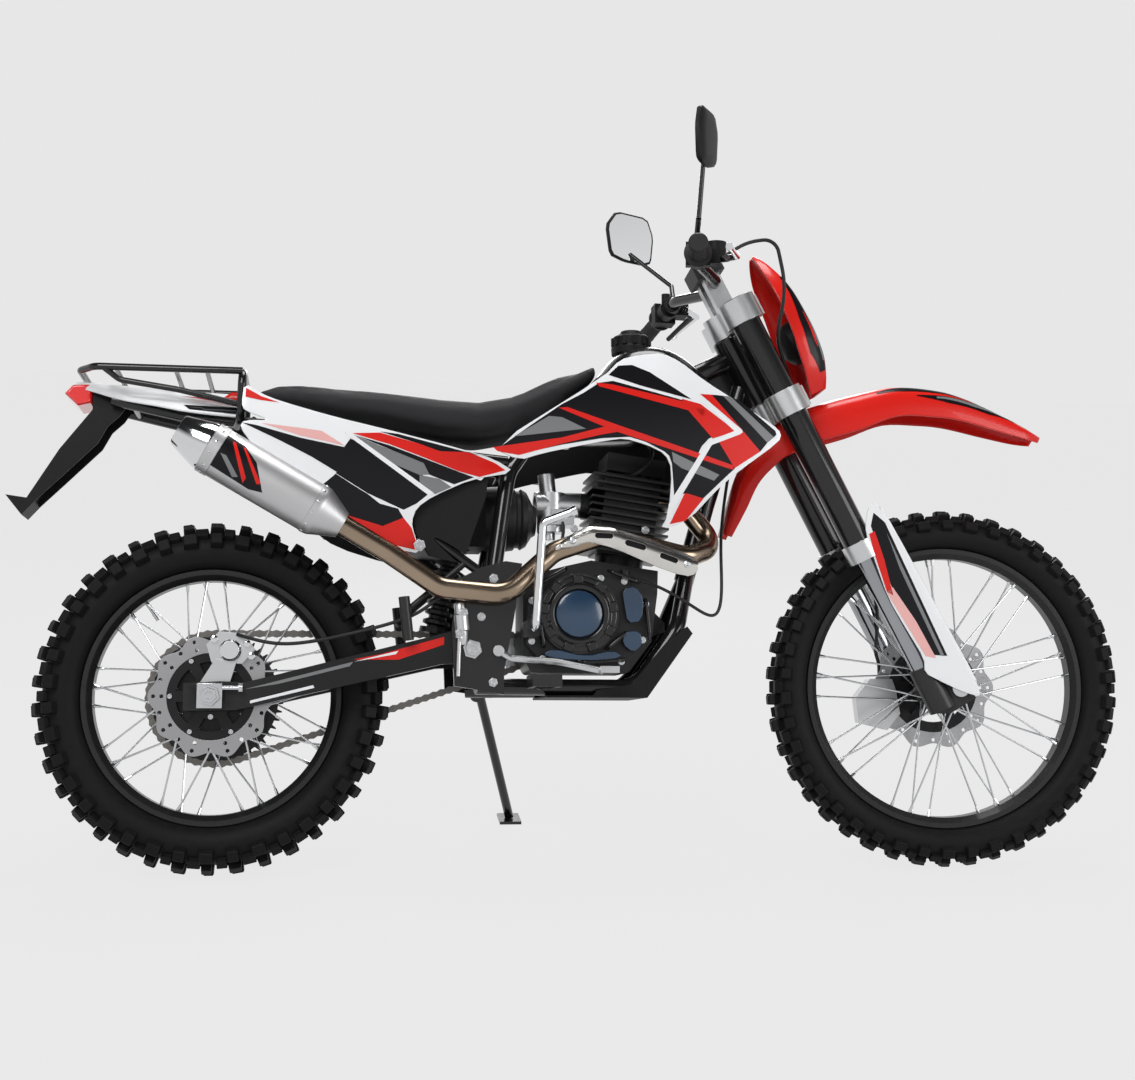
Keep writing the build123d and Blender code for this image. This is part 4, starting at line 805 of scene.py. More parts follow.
def plate_shape(outline: Sequence[Point2], holes: Sequence[Sequence[Point2]], centre: Vector, y: float,
                thickness: float, edge: float = 0.4) -> Shape:
    """A flat plate with holes that stands across the bike's Y.

    Args:
        outline: the outline in X and Z.
        holes: the holes' outlines.
        centre: where the outline's origin lies; its Y isn't used.
        y: the Y of the plate's middle.
        thickness: the plate's thickness.
        edge: the rounding of its edges.

    Returns:
        The shape.
    """
    curve = bpy.data.curves.new("plate", "CURVE")
    curve.dimensions = "2D"
    curve.fill_mode = "BOTH"
    curve.extrude = thickness / 2 - edge
    curve.bevel_depth = edge
    curve.offset = -edge
    for loop in (outline, *holes):
        spline = curve.splines.new("POLY")
        spline.points.add(len(loop) - 1)
        spline.use_cyclic_u = True
        for place, (x, z) in zip(spline.points, loop):
            place.co = (x, z, 0, 1)
    mesh = curve_mesh("plate", curve)
    shape = Shape()
    shape.add([Vector((centre.x + v.co.x, y + v.co.z, centre.z + v.co.y)) for v in mesh.vertices],
              [list(face.vertices) for face in mesh.polygons])
    return shape


def between(rows: Sequence[Sequence[float]], at: float) -> Tuple[float, ...]:
    """A smooth curve through rows of numbers.

    Args:
        rows: the rows.
        at: the place, from 0 at the first row to their count less one at the last.

    Returns:
        The row at that place.
    """
    last = len(rows) - 1
    k = min(int(at), last - 1)
    t = at - k
    a, b, c, d = (rows[min(max(k + shift, 0), last)] for shift in (-1, 0, 1, 2))
    return tuple(q + 0.5 * t * (r - p + t * (2 * p - 5 * q + 4 * r - o + t * (3 * (q - r) + o - p)))
                 for p, q, r, o in zip(a, b, c, d))


class Channel:
    """An open, arched shell through sections, and the strips of colour that lie on it."""

    def __init__(self, rows: Sequence[Row], place: Place, profile: Outline, outward: Vector = UP) -> None:
        """Keep the sections.

        Args:
            rows: the sections, each ending in a half width and a depth.
            place: the point at a row, a distance across and a distance down.
            profile: shares of the half width and the depth, from the middle to the edge.
            outward: a direction that leads out of the shell's middle.
        """
        self.rows, self.place, self.profile, self.outward = rows, place, profile, outward

    def point(self, along: float, across: float, lift: float = 0.0) -> Vector:
        """A point of the shell.

        Args:
            along: place among the rows.
            across: -1 at the right edge, 0 in the middle and 1 at the left edge.
            lift: how far outside the shell.

        Returns:
            The point.
        """
        row = between(self.rows, along)
        wide, deep = between(self.profile, abs(across) * (len(self.profile) - 1))
        spot = self.place(row, math.copysign(wide, across) * row[-2], deep * row[-1])
        if lift:
            step = 0.02
            side = self.point(along, across + (step if across < 0.9 else -step)) - spot
            if across >= 0.9:
                side = -side
            ahead = self.point(min(along + step, len(self.rows) - 1.001), across) - spot
            outward = side.cross(ahead)
            if outward.dot(self.outward) < 0:
                outward = -outward
            spot = spot + outward.normalized() * lift
        return spot

    def find(self, value: float) -> float:
        """The place among the rows where their first number has a value.

        Args:
            value: the value, within the rows' span.

        Returns:
            The place, from 0 at the first row.
        """
        rising = self.rows[-1][0] > self.rows[0][0]
        low, high = 0.0, len(self.rows) - 1.0
        for _ in range(24):
            middle = (low + high) / 2
            if (between(self.rows, middle)[0] < value) == rising:
                low = middle
            else:
                high = middle
        return low

    def shell(self, along: int = 60, across: int = 48) -> Shape:
        """The whole shell.

        Args:
            along: steps from the first row to the last.
            across: steps from edge to edge.

        Returns:
            The shape.
        """
        shape = Shape()
        last = len(self.rows) - 1.0
        shape.grid([[self.point(last * i / along, 2.0 * j / across - 1) for j in range(across + 1)]
                    for i in range(along + 1)])
        return shape

    def strip(self, bands: Sequence[Tuple[float, float, float]], lift: float, side: int) -> Shape:
        """A strip of colour.

        Args:
            bands: first number of the row, and shares across where the strip starts and ends there.
            lift: how far outside the shell it lies.
            side: -1 for the right, 1 for the left.

        Returns:
            The shape.
        """
        steps, rows = 30, []
        for k in range(steps + 1):
            at = k / steps * (len(bands) - 1)
            low = min(int(at), len(bands) - 2)
            value, start, end = (a + (b - a) * (at - low) for a, b in zip(bands[low], bands[low + 1]))
            rows.append([self.point(self.find(value), side * (start + (end - start) * j / 10), lift)
                         for j in range(11)])
        shape = Shape()
        shape.grid(rows)
        return shape

    def lay_strips(self, name: str, strips: Sequence[Tuple]) -> None:
        """Lay strips of colour on both sides of the steered shell.

        Args:
            name: what the pieces' names start with.
            strips: name, finish, lift and bands of each strip.
        """
        for side in Side:
            for label, finish, lift, bands in strips:
                piece = self.strip(bands, lift, side).build(f"{name}_{label}_{side.label}", Body.STEERING,
                                                            finish)


# The profile of the fenders: shares of the half width and the depth, from the middle to the edge
ARCH = ((0.0, -0.015), (0.36, 0.0), (0.68, 0.08), (0.88, 0.26), (0.97, 0.6), (1.0, 1.0))


def face_outward(piece: bpy.types.Object, body: Body, side: int) -> None:
    """Turn a sheet's faces to look away from the bike's middle.

    Args:
        piece: the sheet.
        body: the body it rides on.
        side: -1 to look to the right, 1 to the left.
    """
    outward = (BIKE.matrix(body).to_3x3() @ Vector((0, side, 0))).normalized()
    total = sum((p.normal * p.area for p in piece.data.polygons), Vector())
    if total.dot(outward) < 0:
        piece.data.flip_normals()


def lay_stripe(name: str, body: Body, finish: Finish, points: Outline, height: Height, side: int,
               lift: float, step: float = 12.0) -> None:
    """Lay a thin printed field on a wall.

    Args:
        name: the piece's name.
        body: the body it rides on.
        finish: its finish.
        points: its outline in X and Z.
        height: the wall's Y on the right side at an X and Z.
        side: -1 for the right, 1 for the left.
        lift: how far outside the wall it lies.
        step: the pitch at which it follows the wall.
    """
    stripe = sheet_shape(points, height, step, lift, side).build(name, body, finish)
    face_outward(stripe, body, side)


# Sub-assemblies


@dataclass
class Wheel:
    """A wheel: its tyre with true tread, the rim's marks, the spokes' nipples, the disc and the valve."""

    name: str
    body: Body
    axle: Point2
    radius: float
    width: float
    rim: float
    rim_width: float
    lug: float
    pitches: int
    flanges: Dict[int, float]
    flange_radius: float
    disc_radius: float
    disc_y: float
    spokes_per_flange: int = 18
    rim_depth: float = 18.0
    bead_step: float = 5.5
    casing_steps: int = 144
    # share of the way up the tyre's wall, share of the half width
    wall: Outline = (
        (0.0, 0.58), (0.08, 0.72), (0.22, 0.88), (0.42, 0.965), (0.60, 0.955), (0.75, 0.87), (0.87, 0.70),
        (0.955, 0.46), (0.99, 0.22), (1.0, 0.0))
    # place across the tread, share of the pitch, half length and half width in shares, height share
    lugs: Sequence[Row] = (
        (0.0, 0.0, 0.22, 0.30, 1.0), (0.50, 0.06, 0.23, 0.22, 1.0), (0.90, 0.5, 0.24, 0.21, 1.0),
        (1.27, 0.06, 0.25, 0.23, 0.9))
    # first angle and span of each mark on the rim, in radians
    red_marks: Outline = ((0.22, 0.10), (5.62, 0.06), (5.72, 0.18), (2.48, 0.10), (2.62, 0.16), (1.2, 0.14),
                          (4.4, 0.14))
    white_marks: Outline = ((5.96, 0.02), (6.0, 0.02), (6.04, 0.02), (2.84, 0.02), (2.88, 0.02),
                            (1.4, 0.02), (4.6, 0.02))

    @property
    def centre(self) -> Vector:
        """The middle of the wheel's axle."""
        return Vector((self.axle[0], 0, self.axle[1]))

    def at(self, angle: float, y: float, radius: float) -> Vector:
        """A point of the wheel by angle, distance to the left and radius."""
        return self.centre + Vector((radius * math.sin(angle), y, radius * math.cos(angle)))

    def profile(self) -> List[Point2]:
        """Half of the tyre's outside, as half width and radius, from the bead to the crown."""
        rise = self.radius - self.lug - self.rim
        bead = self.rim_width / 2 - self.bead_step
        wall = [(self.width / 2 * share, self.rim + rise * up) for up, share in self.wall]
        sides = [(max(w, bead) if r < self.rim + 12 else w, r) for w, r in wall[1:]]
        return [(bead, self.rim - 7.5), (bead, self.rim + 1.5)] + sides

    def make_tyre(self) -> None:
        """The casing and its rows of lugs."""
        half = self.profile()
        ring = half + [(-w, r) for w, r in reversed(half[:-1])]
        segments = self.casing_steps
        shape = Shape()
        shape.grid([[self.at(2 * math.pi * k / segments, y, r) for y, r in ring] for k in range(segments)],
                   looped=True, closed=True)
        casing = shape.build(f"{self.name}_tyre_casing", self.body, RUBBER)
        stand_for(casing, f"{self.name}_tyre")
        lugs = Shape()
        pitch = 2 * math.pi / self.pitches
        for k in range(self.pitches):
            for place, shift, length, width, height in self.lugs:
                for side in ((Side.LEFT,) if place == 0 else Side):
                    self.add_lug(lugs, (k + shift) * pitch, place * side, length, width, height, k)
        tread = lugs.build(f"{self.name}_tyre_lugs", self.body, RUBBER, smooth=False)
        bevel(tread, 1.2, 1)

    def add_lug(self, shape: Shape, angle: float, place: float, length: float, width: float, height: float,
                k: int) -> None:
        """One lug that stands square to the casing.

        Args:
            shape: the tread that it joins.
            angle: its place round the wheel.
            place: its place across the tread, from the middle, with the sign of the side.
            length: half its length, as a share of the pitch.
            width: half its width, as a share of the tyre's half width.
            height: its height, as a share of the tallest.
            k: its row, counted round the wheel.
        """
        half = self.width / 2
        tread = self.radius - self.lug
        roll = place * 0.92
        mid_radius = tread - half * 0.80 * (1 - math.cos(roll))
        middle = half * 0.80 * math.sin(roll)
        if abs(place) > 1.2:
            middle = math.copysign(half * 0.90, place)
            mid_radius = tread - (tread - self.rim) * 0.30
        radial = Vector((math.sin(angle), 0, math.cos(angle)))
        up = (radial * math.cos(roll) + Vector((0, math.sin(roll), 0))).normalized()
        along = Vector((math.cos(angle), 0, -math.sin(angle)))
        across = up.cross(along).normalized()
        reach = 2 * math.pi * tread / self.pitches
        stretch = 1.12 if (k % 2) == (abs(place) > 0.6) else 0.92
        rise = self.lug * height
        centre = self.at(angle, middle, mid_radius) + up * (rise / 2 - 2)
        shape.box(centre, along * reach * length * stretch, across * half * width, up * (rise / 2 + 2),
                  0.84)

    def make_marks(self) -> None:
        """Short red and white marks on the rim's sides."""
        half = self.rim_width / 2
        steps = 8
        for colour, spans in ((RED_PLASTIC, self.red_marks), (WHITE_PLASTIC, self.white_marks)):
            shape = Shape()
            for start, span in spans:
                for side in Side:
                    rows = []
                    for k in range(steps + 1):
                        angle = start + span * k / steps
                        rows.append([self.at(angle, side * (half - 4.3 - (half / 2 - 5) * share),
                                             self.rim - 8 - 8 * share) for share in (0.12, 0.82)])
                    shape.grid(rows)
            marks = shape.build(f"{self.name}_rim_marks_{colour.name}", self.body, colour)
            thicken(marks, 0.4, 0.0)

    def make_nipples(self) -> None:
        """Spoke nipples in line with part.py's crossed spokes, and the valve."""
        count = self.spokes_per_flange
        shape = Shape()
        reach = self.rim - self.rim_depth + 1.5
        for side, flange_y in self.flanges.items():
            for k in range(count):
                lead = 1 if k % 2 else -1
                turn = 2 * math.pi * k / count + (math.pi / count if side > 0 else 0)
                at_hub, at_rim = turn + lead * math.radians(31), turn - lead * math.radians(6)
                start = Vector((self.flange_radius * math.cos(at_hub), flange_y + lead * 4 * side,
                                self.flange_radius * math.sin(at_hub)))
                end = Vector((reach * math.cos(at_rim), side * (6 + lead * 2.5), reach * math.sin(at_rim)))
                shape.lathe([(-1, 0), (-1, 3.6), (4, 3.4), (15, 2.6), (15, 0)], self.centre + end,
                            start - end, 8)
        out = Vector((math.cos(2.2), 0, math.sin(2.2)))
        shape.lathe([(0, 0), (0, 3.4), (16, 3.4), (16, 2.6), (40, 2.6)],
                    self.centre + out * (self.rim - 58), out, 10)
        shape.build(f"{self.name}_nipples", self.body, STEEL)

    def make_disc(self) -> None:
        """The brake disc: a bright wavy ring with drillings on a black carrier, and its bolts."""
        outer, inner = self.disc_radius, self.disc_radius * 0.70
        steps, waves = 160, 10
        ring = [outer * (1 - 0.05 * (1 - math.cos(waves * 2 * math.pi * k / steps))) for k in range(steps)]
        edge = [(r * math.cos(2 * math.pi * k / steps), r * math.sin(2 * math.pi * k / steps))
                for k, r in enumerate(ring)]
        holes = [circle((0, 0), inner, 72)]
        for k in range(30):
            angle = 2 * math.pi * (k + 0.5 * (k % 3)) / 30
            radius = outer * (0.78 + 0.065 * (k % 3))
            holes.append(circle((radius * math.cos(angle), radius * math.sin(angle)), 3.6, 12))
        plate = plate_shape(edge, holes, self.centre, self.disc_y, 4.0)
        stand_for(plate.build(f"{self.name}_brake_disc", self.body, DISC_STEEL), f"{self.name}_disc")
        windows = []
        for k in range(6):
            middle = math.radians(60 * k + 30)
            arc = [(inner * 0.80, a) for a in (-0.36, -0.18, 0, 0.18, 0.36)]
            arc += [(inner * 0.52, a) for a in (0.3, 0, -0.3)]
            windows.append([(r * math.cos(middle + a), r * math.sin(middle + a)) for r, a in arc])
        carrier = plate_shape(circle((0, 0), inner + 3, 72), windows + [circle((0, 0), 26, 32)],
                              self.centre, self.disc_y - math.copysign(1.5, self.disc_y), 3.4)
        carrier.build(f"{self.name}_disc_carrier", self.body, SATIN_BLACK)
        bolts = Shape()
        outward = Vector((0, math.copysign(1, self.disc_y), 0))
        for k in range(6):
            for radius, turn, size in ((inner * 0.93, 0.0, 5.0), (36, 0.5, 5.5)):
                angle = math.radians(60 * (k + turn))
                place = self.centre + Vector((radius * math.cos(angle), self.disc_y,
                                              radius * math.sin(angle)))
                head = [(0, size), (4, size * 0.85), (4, size * 0.45), (2, size * 0.4), (2, 0)]
                bolts.lathe(head, place, outward, 14)
        bolts.build(f"{self.name}_disc_bolts", self.body, STEEL)

    def make(self) -> None:
        """Make all of the wheel's pieces."""
        self.make_tyre()
        self.make_marks()
        self.make_nipples()
        self.make_disc()
        dress(f"{self.name}_rim", SATIN_BLACK)
        dress(f"{self.name}_spokes", STEEL)
        dress(f"{self.name}_hub", SATIN_BLACK)
        dress(f"{self.name}_axle", STEEL)
        dress(f"{self.name}_caliper", CAST_ALLOY)


FRONT_WHEEL = Wheel(
    "front", Body.FRONT_WHEEL, axle=(WHEELBASE, FRONT_AXLE_HEIGHT), radius=343, width=86, rim=268,
    rim_width=50,
    lug=14, pitches=42, flanges={-1: -30.0, 1: 34.0}, flange_radius=40, disc_radius=122, disc_y=62)
REAR_WHEEL = Wheel(
    "rear", Body.REAR_WHEEL, axle=(0.0, REAR_AXLE_HEIGHT), radius=319, width=104, rim=231, rim_width=62,
    lug=18, pitches=38, flanges={-1: -38.0, 1: 34.0}, flange_radius=58, disc_radius=111, disc_y=-66)


Stripes = Sequence[Tuple[Finish, int, Sequence[Point2]]]


@dataclass(frozen=True)
class Panel:
    """A moulded panel on a curved wall, with its printed fields.

    Each stripe is a finish, its order over its neighbours and its outline in X and Z.
    """

    name: str
    node: str
    skin: Skin
    outline: Outline
    stripes: Stripes


SHROUD = Panel(
    "shroud", "tank_shrouds", Skin(-176, 620, 800, 6, 900),
    outline=(
        (692, 904), (722, 938), (760, 950), (805, 956), (837, 942), (883, 906), (950, 866), (1014, 828),
        (1029, 813), (1024, 797), (944, 738), (906, 706), (853, 648), (799, 628), (814, 655), (818, 738),
        (805, 765), (771, 780), (728, 790), (697, 785), (640, 772), (576, 756), (535, 742), (484, 763)),
    stripes=(
        (BLACK_PRINT_AND_SHADE, 1, ((682, 891), (708, 896), (868, 860), (883, 851), (929, 815), (888, 797),
        (874, 782), (861, 756), (818, 757), (803, 769), (768, 785), (737, 793), (685, 788), (612, 773),
        (534, 753), (493, 759), (558, 808), (612, 847), (652, 870))),
        (RED_PLASTIC, 2, ((676, 891), (708, 889), (862, 860), (888, 848), (880, 838), (852, 847),
        (682, 884))),
        (RED_PLASTIC, 3, ((487, 763), (531, 771), (612, 786), (685, 808), (711, 813), (719, 802),
        (682, 794), (612, 775), (534, 751), (495, 756))),
        (GREY_PLASTIC, 2, ((588, 824), (612, 823), (656, 804), (525, 784))),
        (BLACK_PRINT_AND_SHADE, 1, ((700, 907), (719, 926), (745, 929), (778, 917), (856, 869), (760, 890))),
        (RED_PLASTIC, 1, ((873, 880), (895, 880), (987, 777), (937, 744), (906, 791), (949, 808),
        (952, 816))),
        (BLACK_PRINT_AND_SHADE, 2, ((889, 782), (906, 793), (938, 743), (879, 767))),
        (BLACK_PRINT_AND_SHADE, 1, ((895, 880), (917, 879), (1001, 794), (987, 777))),
        (GREY_PLASTIC, 1, ((917, 879), (932, 878), (1014, 805), (1001, 794))),
        (BLACK_PRINT_AND_SHADE, 1, ((932, 878), (951, 870), (1017, 817), (1019, 810), (1014, 805))),
        (RED_PLASTIC, 2, ((837, 869), (873, 861), (940, 813), (895, 797), (848, 849))),
        (RED_PLASTIC, 3, ((606, 840), (622, 842), (718, 813), (879, 766), (935, 749), (934, 741),
        (872, 758), (707, 803))),
        (GREY_PLASTIC, 2, ((817, 769), (850, 755), (908, 731), (898, 720), (836, 740), (820, 751))),
        (BLACK_PRINT_AND_SHADE, 1, ((808, 772), (879, 767), (937, 743), (908, 716), (878, 687), (844, 696),
        (823, 686), (817, 748))),
        (RED_PLASTIC, 1, ((843, 696), (879, 687), (846, 646), (816, 639))),
        (WHITE_PLASTIC, 4, ((873, 869), (879, 871), (952, 816), (953, 811), (947, 807), (893, 785),
        (819, 661), (807, 634), (813, 675), (885, 791), (937, 813)))))
SIDE_PANEL = Panel(
    "side_panel", "side_panels", Skin(-138, 900, 740, 4, 300),
    outline=(
        (49, 881), (80, 862), (113, 850), (205, 826), (315, 803), (438, 775), (500, 758), (538, 735),
        (459, 720), (389, 687), (358, 664), (350, 639), (355, 617), (370, 582), (317, 590), (219, 621),
        (172, 655), (102, 723), (69, 765), (43, 800), (50, 812), (97, 814), (51, 830), (45, 842)),
    stripes=(
        (BLACK_PRINT_AND_SHADE, 1, ((46, 808), (71, 804), (149, 784), (227, 770), (238, 754), (215, 724), (170, 750),
        (113, 778))),
        (PINK_PLASTIC, 1, ((81, 808), (148, 802), (187, 798), (229, 772), (202, 778), (149, 788))),
        (BLACK_PRINT_AND_SHADE, 1, ((101, 722), (132, 708), (161, 696), (186, 697), (213, 721), (242, 703),
        (271, 686), (292, 670), (325, 662), (335, 646), (298, 630), (231, 645), (174, 657), (133, 690))),
        (RED_PLASTIC, 2, ((174, 657), (230, 649), (298, 630), (335, 646), (350, 628), (364, 588),
        (329, 595), (258, 614), (195, 637))),
        (RED_PLASTIC, 1, ((241, 796), (291, 799), (363, 781), (399, 769), (453, 769), (502, 750),
        (520, 738), (472, 724), (435, 733), (363, 759), (309, 778))),
        (BLACK_PRINT_AND_SHADE, 2, ((291, 801), (323, 798), (479, 762), (453, 769), (399, 769), (363, 781))),
        (GREY_PLASTIC, 1, ((228, 797), (241, 794), (291, 775), (372, 746), (381, 725), (363, 724),
        (309, 745), (264, 769))),
        (BLACK_PRINT_AND_SHADE, 2, ((248, 792), (309, 776), (435, 732), (462, 723), (426, 709), (381, 725),
        (370, 746))),
        (GREY_PLASTIC, 3, ((363, 724), (399, 718), (421, 704), (392, 690), (363, 702))),
        (BLACK_PRINT_AND_SHADE, 0, ((227, 770), (238, 786), (270, 772), (372, 722), (392, 700), (358, 672),
        (335, 660), (270, 688), (213, 722), (236, 752))),
        (RED_PLASTIC, 1, ((52, 872), (80, 857), (112, 847), (80, 850), (52, 855))),
        (WHITE_PLASTIC, 4, ((228, 795), (235, 799), (389, 692), (382, 686)))))


@dataclass
class Bodywork:
    """The plastic panels, the tank and the seat."""

    panels: Sequence[Panel] = (SHROUD, SIDE_PANEL)
    panel_wall: float = 3.6
    # The gap between a panel and its black sheet of painted shade
    lining_gap: float = 0.7
    stripe_lift: float = 0.25
    order_lift: float = 0.12
    # X, half width, bottom and top of each section
    tank_rows: Sequence[Row] = (
        (640, 72, 812, 868), (706, 96, 812, 938), (730, 102, 812, 976), (760, 108, 812, 996),
        (800, 114, 812, 1004), (850, 112, 816, 998), (905, 84, 836, 954), (938, 58, 858, 930))
    tank_power: float = 3.0
    cap_place: Point3 = (778, 0, 992)
    cap_profile: Outline = ((-2, 0), (-2, 38), (10, 39), (14, 36), (30, 37), (34, 33), (36, 24), (44, 20),
                            (46, 0))
    cap_ribs: int = 12
    seat_rows: Sequence[Row] = (
        (64, 40, 872, 890), (76, 58, 866, 895), (150, 76, 854, 897), (220, 81, 842, 893),
        (300, 83, 830, 888), (410, 81, 810, 879), (478, 75, 804, 877), (540, 68, 816, 890),
        (566, 64, 836, 900), (600, 59, 853, 918), (650, 51, 897, 942), (690, 40, 930, 962),
        (702, 30, 944, 966))
    seat_power: float = 3.2
    seat_around: int = 20
    seat_fill: float = 0.8
    swell_limit: float = 5.0
    swell_voxel: float = 6.0
    swell_pressure: float = 4.0
    swell_frames: int = 20
    # X, Z, slope in degrees, half width and depth of each section
    fender_rows: Sequence[Row] = (
        (952, 643, 74, 38, 20), (968, 700, 70, 44, 32), (986, 757, 66, 50, 40), (1012, 806, 54, 54, 52),
        (1046, 846, 40, 58, 60), (1090, 876, 28, 61, 66), (1140, 897, 18, 64, 72), (1204, 916, 12, 66, 72),
        (1288, 934, 3, 66, 62), (1373, 929, -10, 62, 58), (1430, 914, -17, 58, 50),
        (1500, 884, -23, 51, 38), (1556, 856, -27, 42, 24), (1584, 842, -28, 26, 15))
    fender_wall: float = 2.2
    # name, finish, lift, and X with the shares across where the strip starts and ends there
    fender_strips: Sequence[Tuple] = (
        ("dark", BLACK_PRINT_AND_SHADE, 0.5, ((1250, 0.48, 0.54), (1310, 0.36, 0.56), (1400, 0.28, 0.48),
        # The shade strip is a black strip of painted shade on the fender's shoulder
        (1500, 0.30, 0.34))),
        ("shade", BLACK_PRINT_AND_SHADE, 0.5, ((1330, 0.64, 0.66), (1400, 0.56, 0.72), (1480, 0.42, 0.66),
        (1562, 0.30, 0.36))),
        ("grey", GREY_PLASTIC, 0.8, ((1372, 0.62, 0.66), (1450, 0.52, 0.62), (1540, 0.38, 0.42))))
    # X, Z, slope, half width and depth of each section
    tail_rows: Sequence[Row] = (
        (-258, 899, 0, 38, 12), (-230, 898, 0, 48, 20), (-170, 893, 0, 66, 34), (-110, 889, 0, 77, 41),
        (-60, 884, 0, 86, 46), (-8, 882, 0, 90, 50), (42, 880, 0, 92, 52))
    tail_wall: float = 3.0
    tail_stripes: Sequence[Tuple[Finish, Outline]] = (
        (RED_PLASTIC, ((-66, 866), (7, 862), (24, 874), (40, 874), (41, 850), (4, 856))),
        (BLACK_PRINT_AND_SHADE, ((-60, 850), (38, 846), (38, 834), (-50, 842))))
    lamp_outline: Outline = ((-276, 874), (-262, 890), (-228, 893), (-228, 858), (-252, 852))
    lamp_middle: Point2 = (-250, 873)
    # share of the outline and Y of each of the lamp's sections
    lamp_sections: Outline = ((0.86, -45), (1.0, -40), (1.0, 40), (0.86, 45))

    def make_panel(self, panel: Panel) -> None:
        """A panel on each side, with a black sheet of painted shade inside and its stripes laid on it.

        Args:
            panel: the panel.
        """
        outline, height = rounded(panel.outline), panel.skin.y
        for side in Side:
            label = f"{panel.name}_{side.label}"
            shell = sheet_shape(outline, height, side=side).build(label, Body.CHASSIS, WHITE_PLASTIC)
            face_outward(shell, Body.CHASSIS, side)
            thicken(shell, self.panel_wall)
            bevel(shell, 0.9, 3, 50)
            stand_for(shell, panel.node)
            # A black sheet just inside the panel: painted shade on the white panel's inside
            painted_shade_lining = sheet_shape(outline, height, lift=-self.panel_wall - self.lining_gap, side=side)
            painted_shade_lining = painted_shade_lining.build(f"{label}_lining", Body.CHASSIS, BLACK_PLASTIC_AND_SHADE)
            face_outward(painted_shade_lining, Body.CHASSIS, -side)
            for index, (finish, order, points) in enumerate(panel.stripes):
                lay_stripe(f"{label}_stripe_{index}", Body.CHASSIS, finish, points,
                           height, side, self.stripe_lift + self.order_lift * order)

    @staticmethod
    def lofted(rows: Sequence[Tuple[float, ...]], power: float = 2.6, around: int = 16) -> Shape:
        """A closed form of rounded sections.

        Args:
            rows: X, half width, bottom and top of each section, and whatever follows.
            power: how square the sections are.
            around: points round each section.

        Returns:
            The shape.
        """
        shape = Shape()
        sections = []
        for x, half, low, high, *_ in rows:
            section = []
            for k in range(around):
                angle = 2 * math.pi * (k + 0.5) / around
                c, s = math.cos(angle), math.sin(angle)
                wide, tall = (math.copysign(abs(v) ** (2 / power), v) for v in (c, s))
                section.append(Vector((x, half * wide, (low + high) / 2 + (high - low) / 2 * tall)))
            sections.append(section)
        shape.grid(sections, closed=True, caps=True)
        return shape

    def make_tank(self) -> None:
        """The tank between the shrouds, and its ribbed cap."""
        tank = self.lofted(self.tank_rows, self.tank_power).build("tank_body", Body.CHASSIS, GLOSS_BLACK)
        subdivide(tank)
        stand_for(tank, "fuel_tank")
        shape = Shape()
        base = Vector(self.cap_place)
        shape.lathe(self.cap_profile, base, UP, 48)
        for k in range(self.cap_ribs):
            angle = math.radians(360 / self.cap_ribs * k)
            out = Vector((math.cos(angle), math.sin(angle), 0))
            shape.box(base + UP * 22 + out * 37, out * 2, Vector((-out.y, out.x, 0)) * 4, UP * 8)
        stand_for(shape.build("tank_cap", Body.CHASSIS, BLACK_PLASTIC_AND_SHADE), "fuel_cap")

    def make_seat(self) -> None:
        """The padded seat, swelled by a cloth simulation."""
        seat = self.lofted(self.seat_rows, self.seat_power, self.seat_around)
        seat = seat.build("seat_pad", Body.CHASSIS, VINYL)
        seat.data.name = "seat_pad"
        self.swell(seat)
        subdivide(seat, 1)
        stand_for(seat, "seat")

    def swell(self, piece: bpy.types.Object) -> None:
        """Fill a pad by a short cloth simulation, and keep each point near where it was.

        Args:
            piece: the pad.
        """
        cap = self.swell_limit * MM
        remesh = piece.modifiers.new("remesh", "REMESH")
        remesh.mode = "VOXEL"
        remesh.voxel_size = self.swell_voxel * MM
        bpy.context.view_layer.update()
        graph = bpy.context.evaluated_depsgraph_get()
        mesh = bpy.data.meshes.new_from_object(piece.evaluated_get(graph))
        mesh.materials.clear()
        mesh.materials.append(FINISHES.get(VINYL))
        piece.modifiers.clear()
        piece.data = mesh
        before = [v.co.copy() for v in mesh.vertices]
        cloth = piece.modifiers.new("cloth", "CLOTH")
        cloth.settings.use_pressure = True
        cloth.settings.uniform_pressure_force = self.swell_pressure
        cloth.settings.effector_weights.gravity = 0.0
        scene = bpy.context.scene
        cloth.point_cache.frame_start, cloth.point_cache.frame_end = 1, self.swell_frames
        for step in range(1, self.swell_frames + 1):
            scene.frame_set(step)
        graph = bpy.context.evaluated_depsgraph_get()
        after = piece.evaluated_get(graph).to_mesh()
        moved = [v.co.copy() for v in after.vertices]
        piece.modifiers.clear()
        scene.frame_set(1)
        for vert, start, end in zip(mesh.vertices, before, moved):
            move = end - start
            vert.co = start + (move if move.length < cap else move.normalized() * cap)
        mesh.polygons.foreach_set("use_smooth", [True] * len(mesh.polygons))

    def make_front_fender(self) -> None:
        """The high front fender with its dark and grey stripes, and a black strip of painted shade."""

        def place(row: Row, across: float, down: float) -> Vector:
            """A point square to the fender's slope.

            Args:
                row: a section.
                across: distance to the left.
                down: distance down from the fender's top.

            Returns:
                The point.
            """
            x, z, slope = row[:3]
            lean = math.radians(slope)
            return Vector((x + down * math.sin(lean), across, z - down * math.cos(lean)))

        channel = Channel(self.fender_rows, place, ARCH)
        fender = channel.shell().build("front_fender_shell", Body.STEERING, RED_PLASTIC)
        thicken(fender, self.fender_wall)
        stand_for(fender, "front_fender")
        channel.lay_strips("front_fender", self.fender_strips)

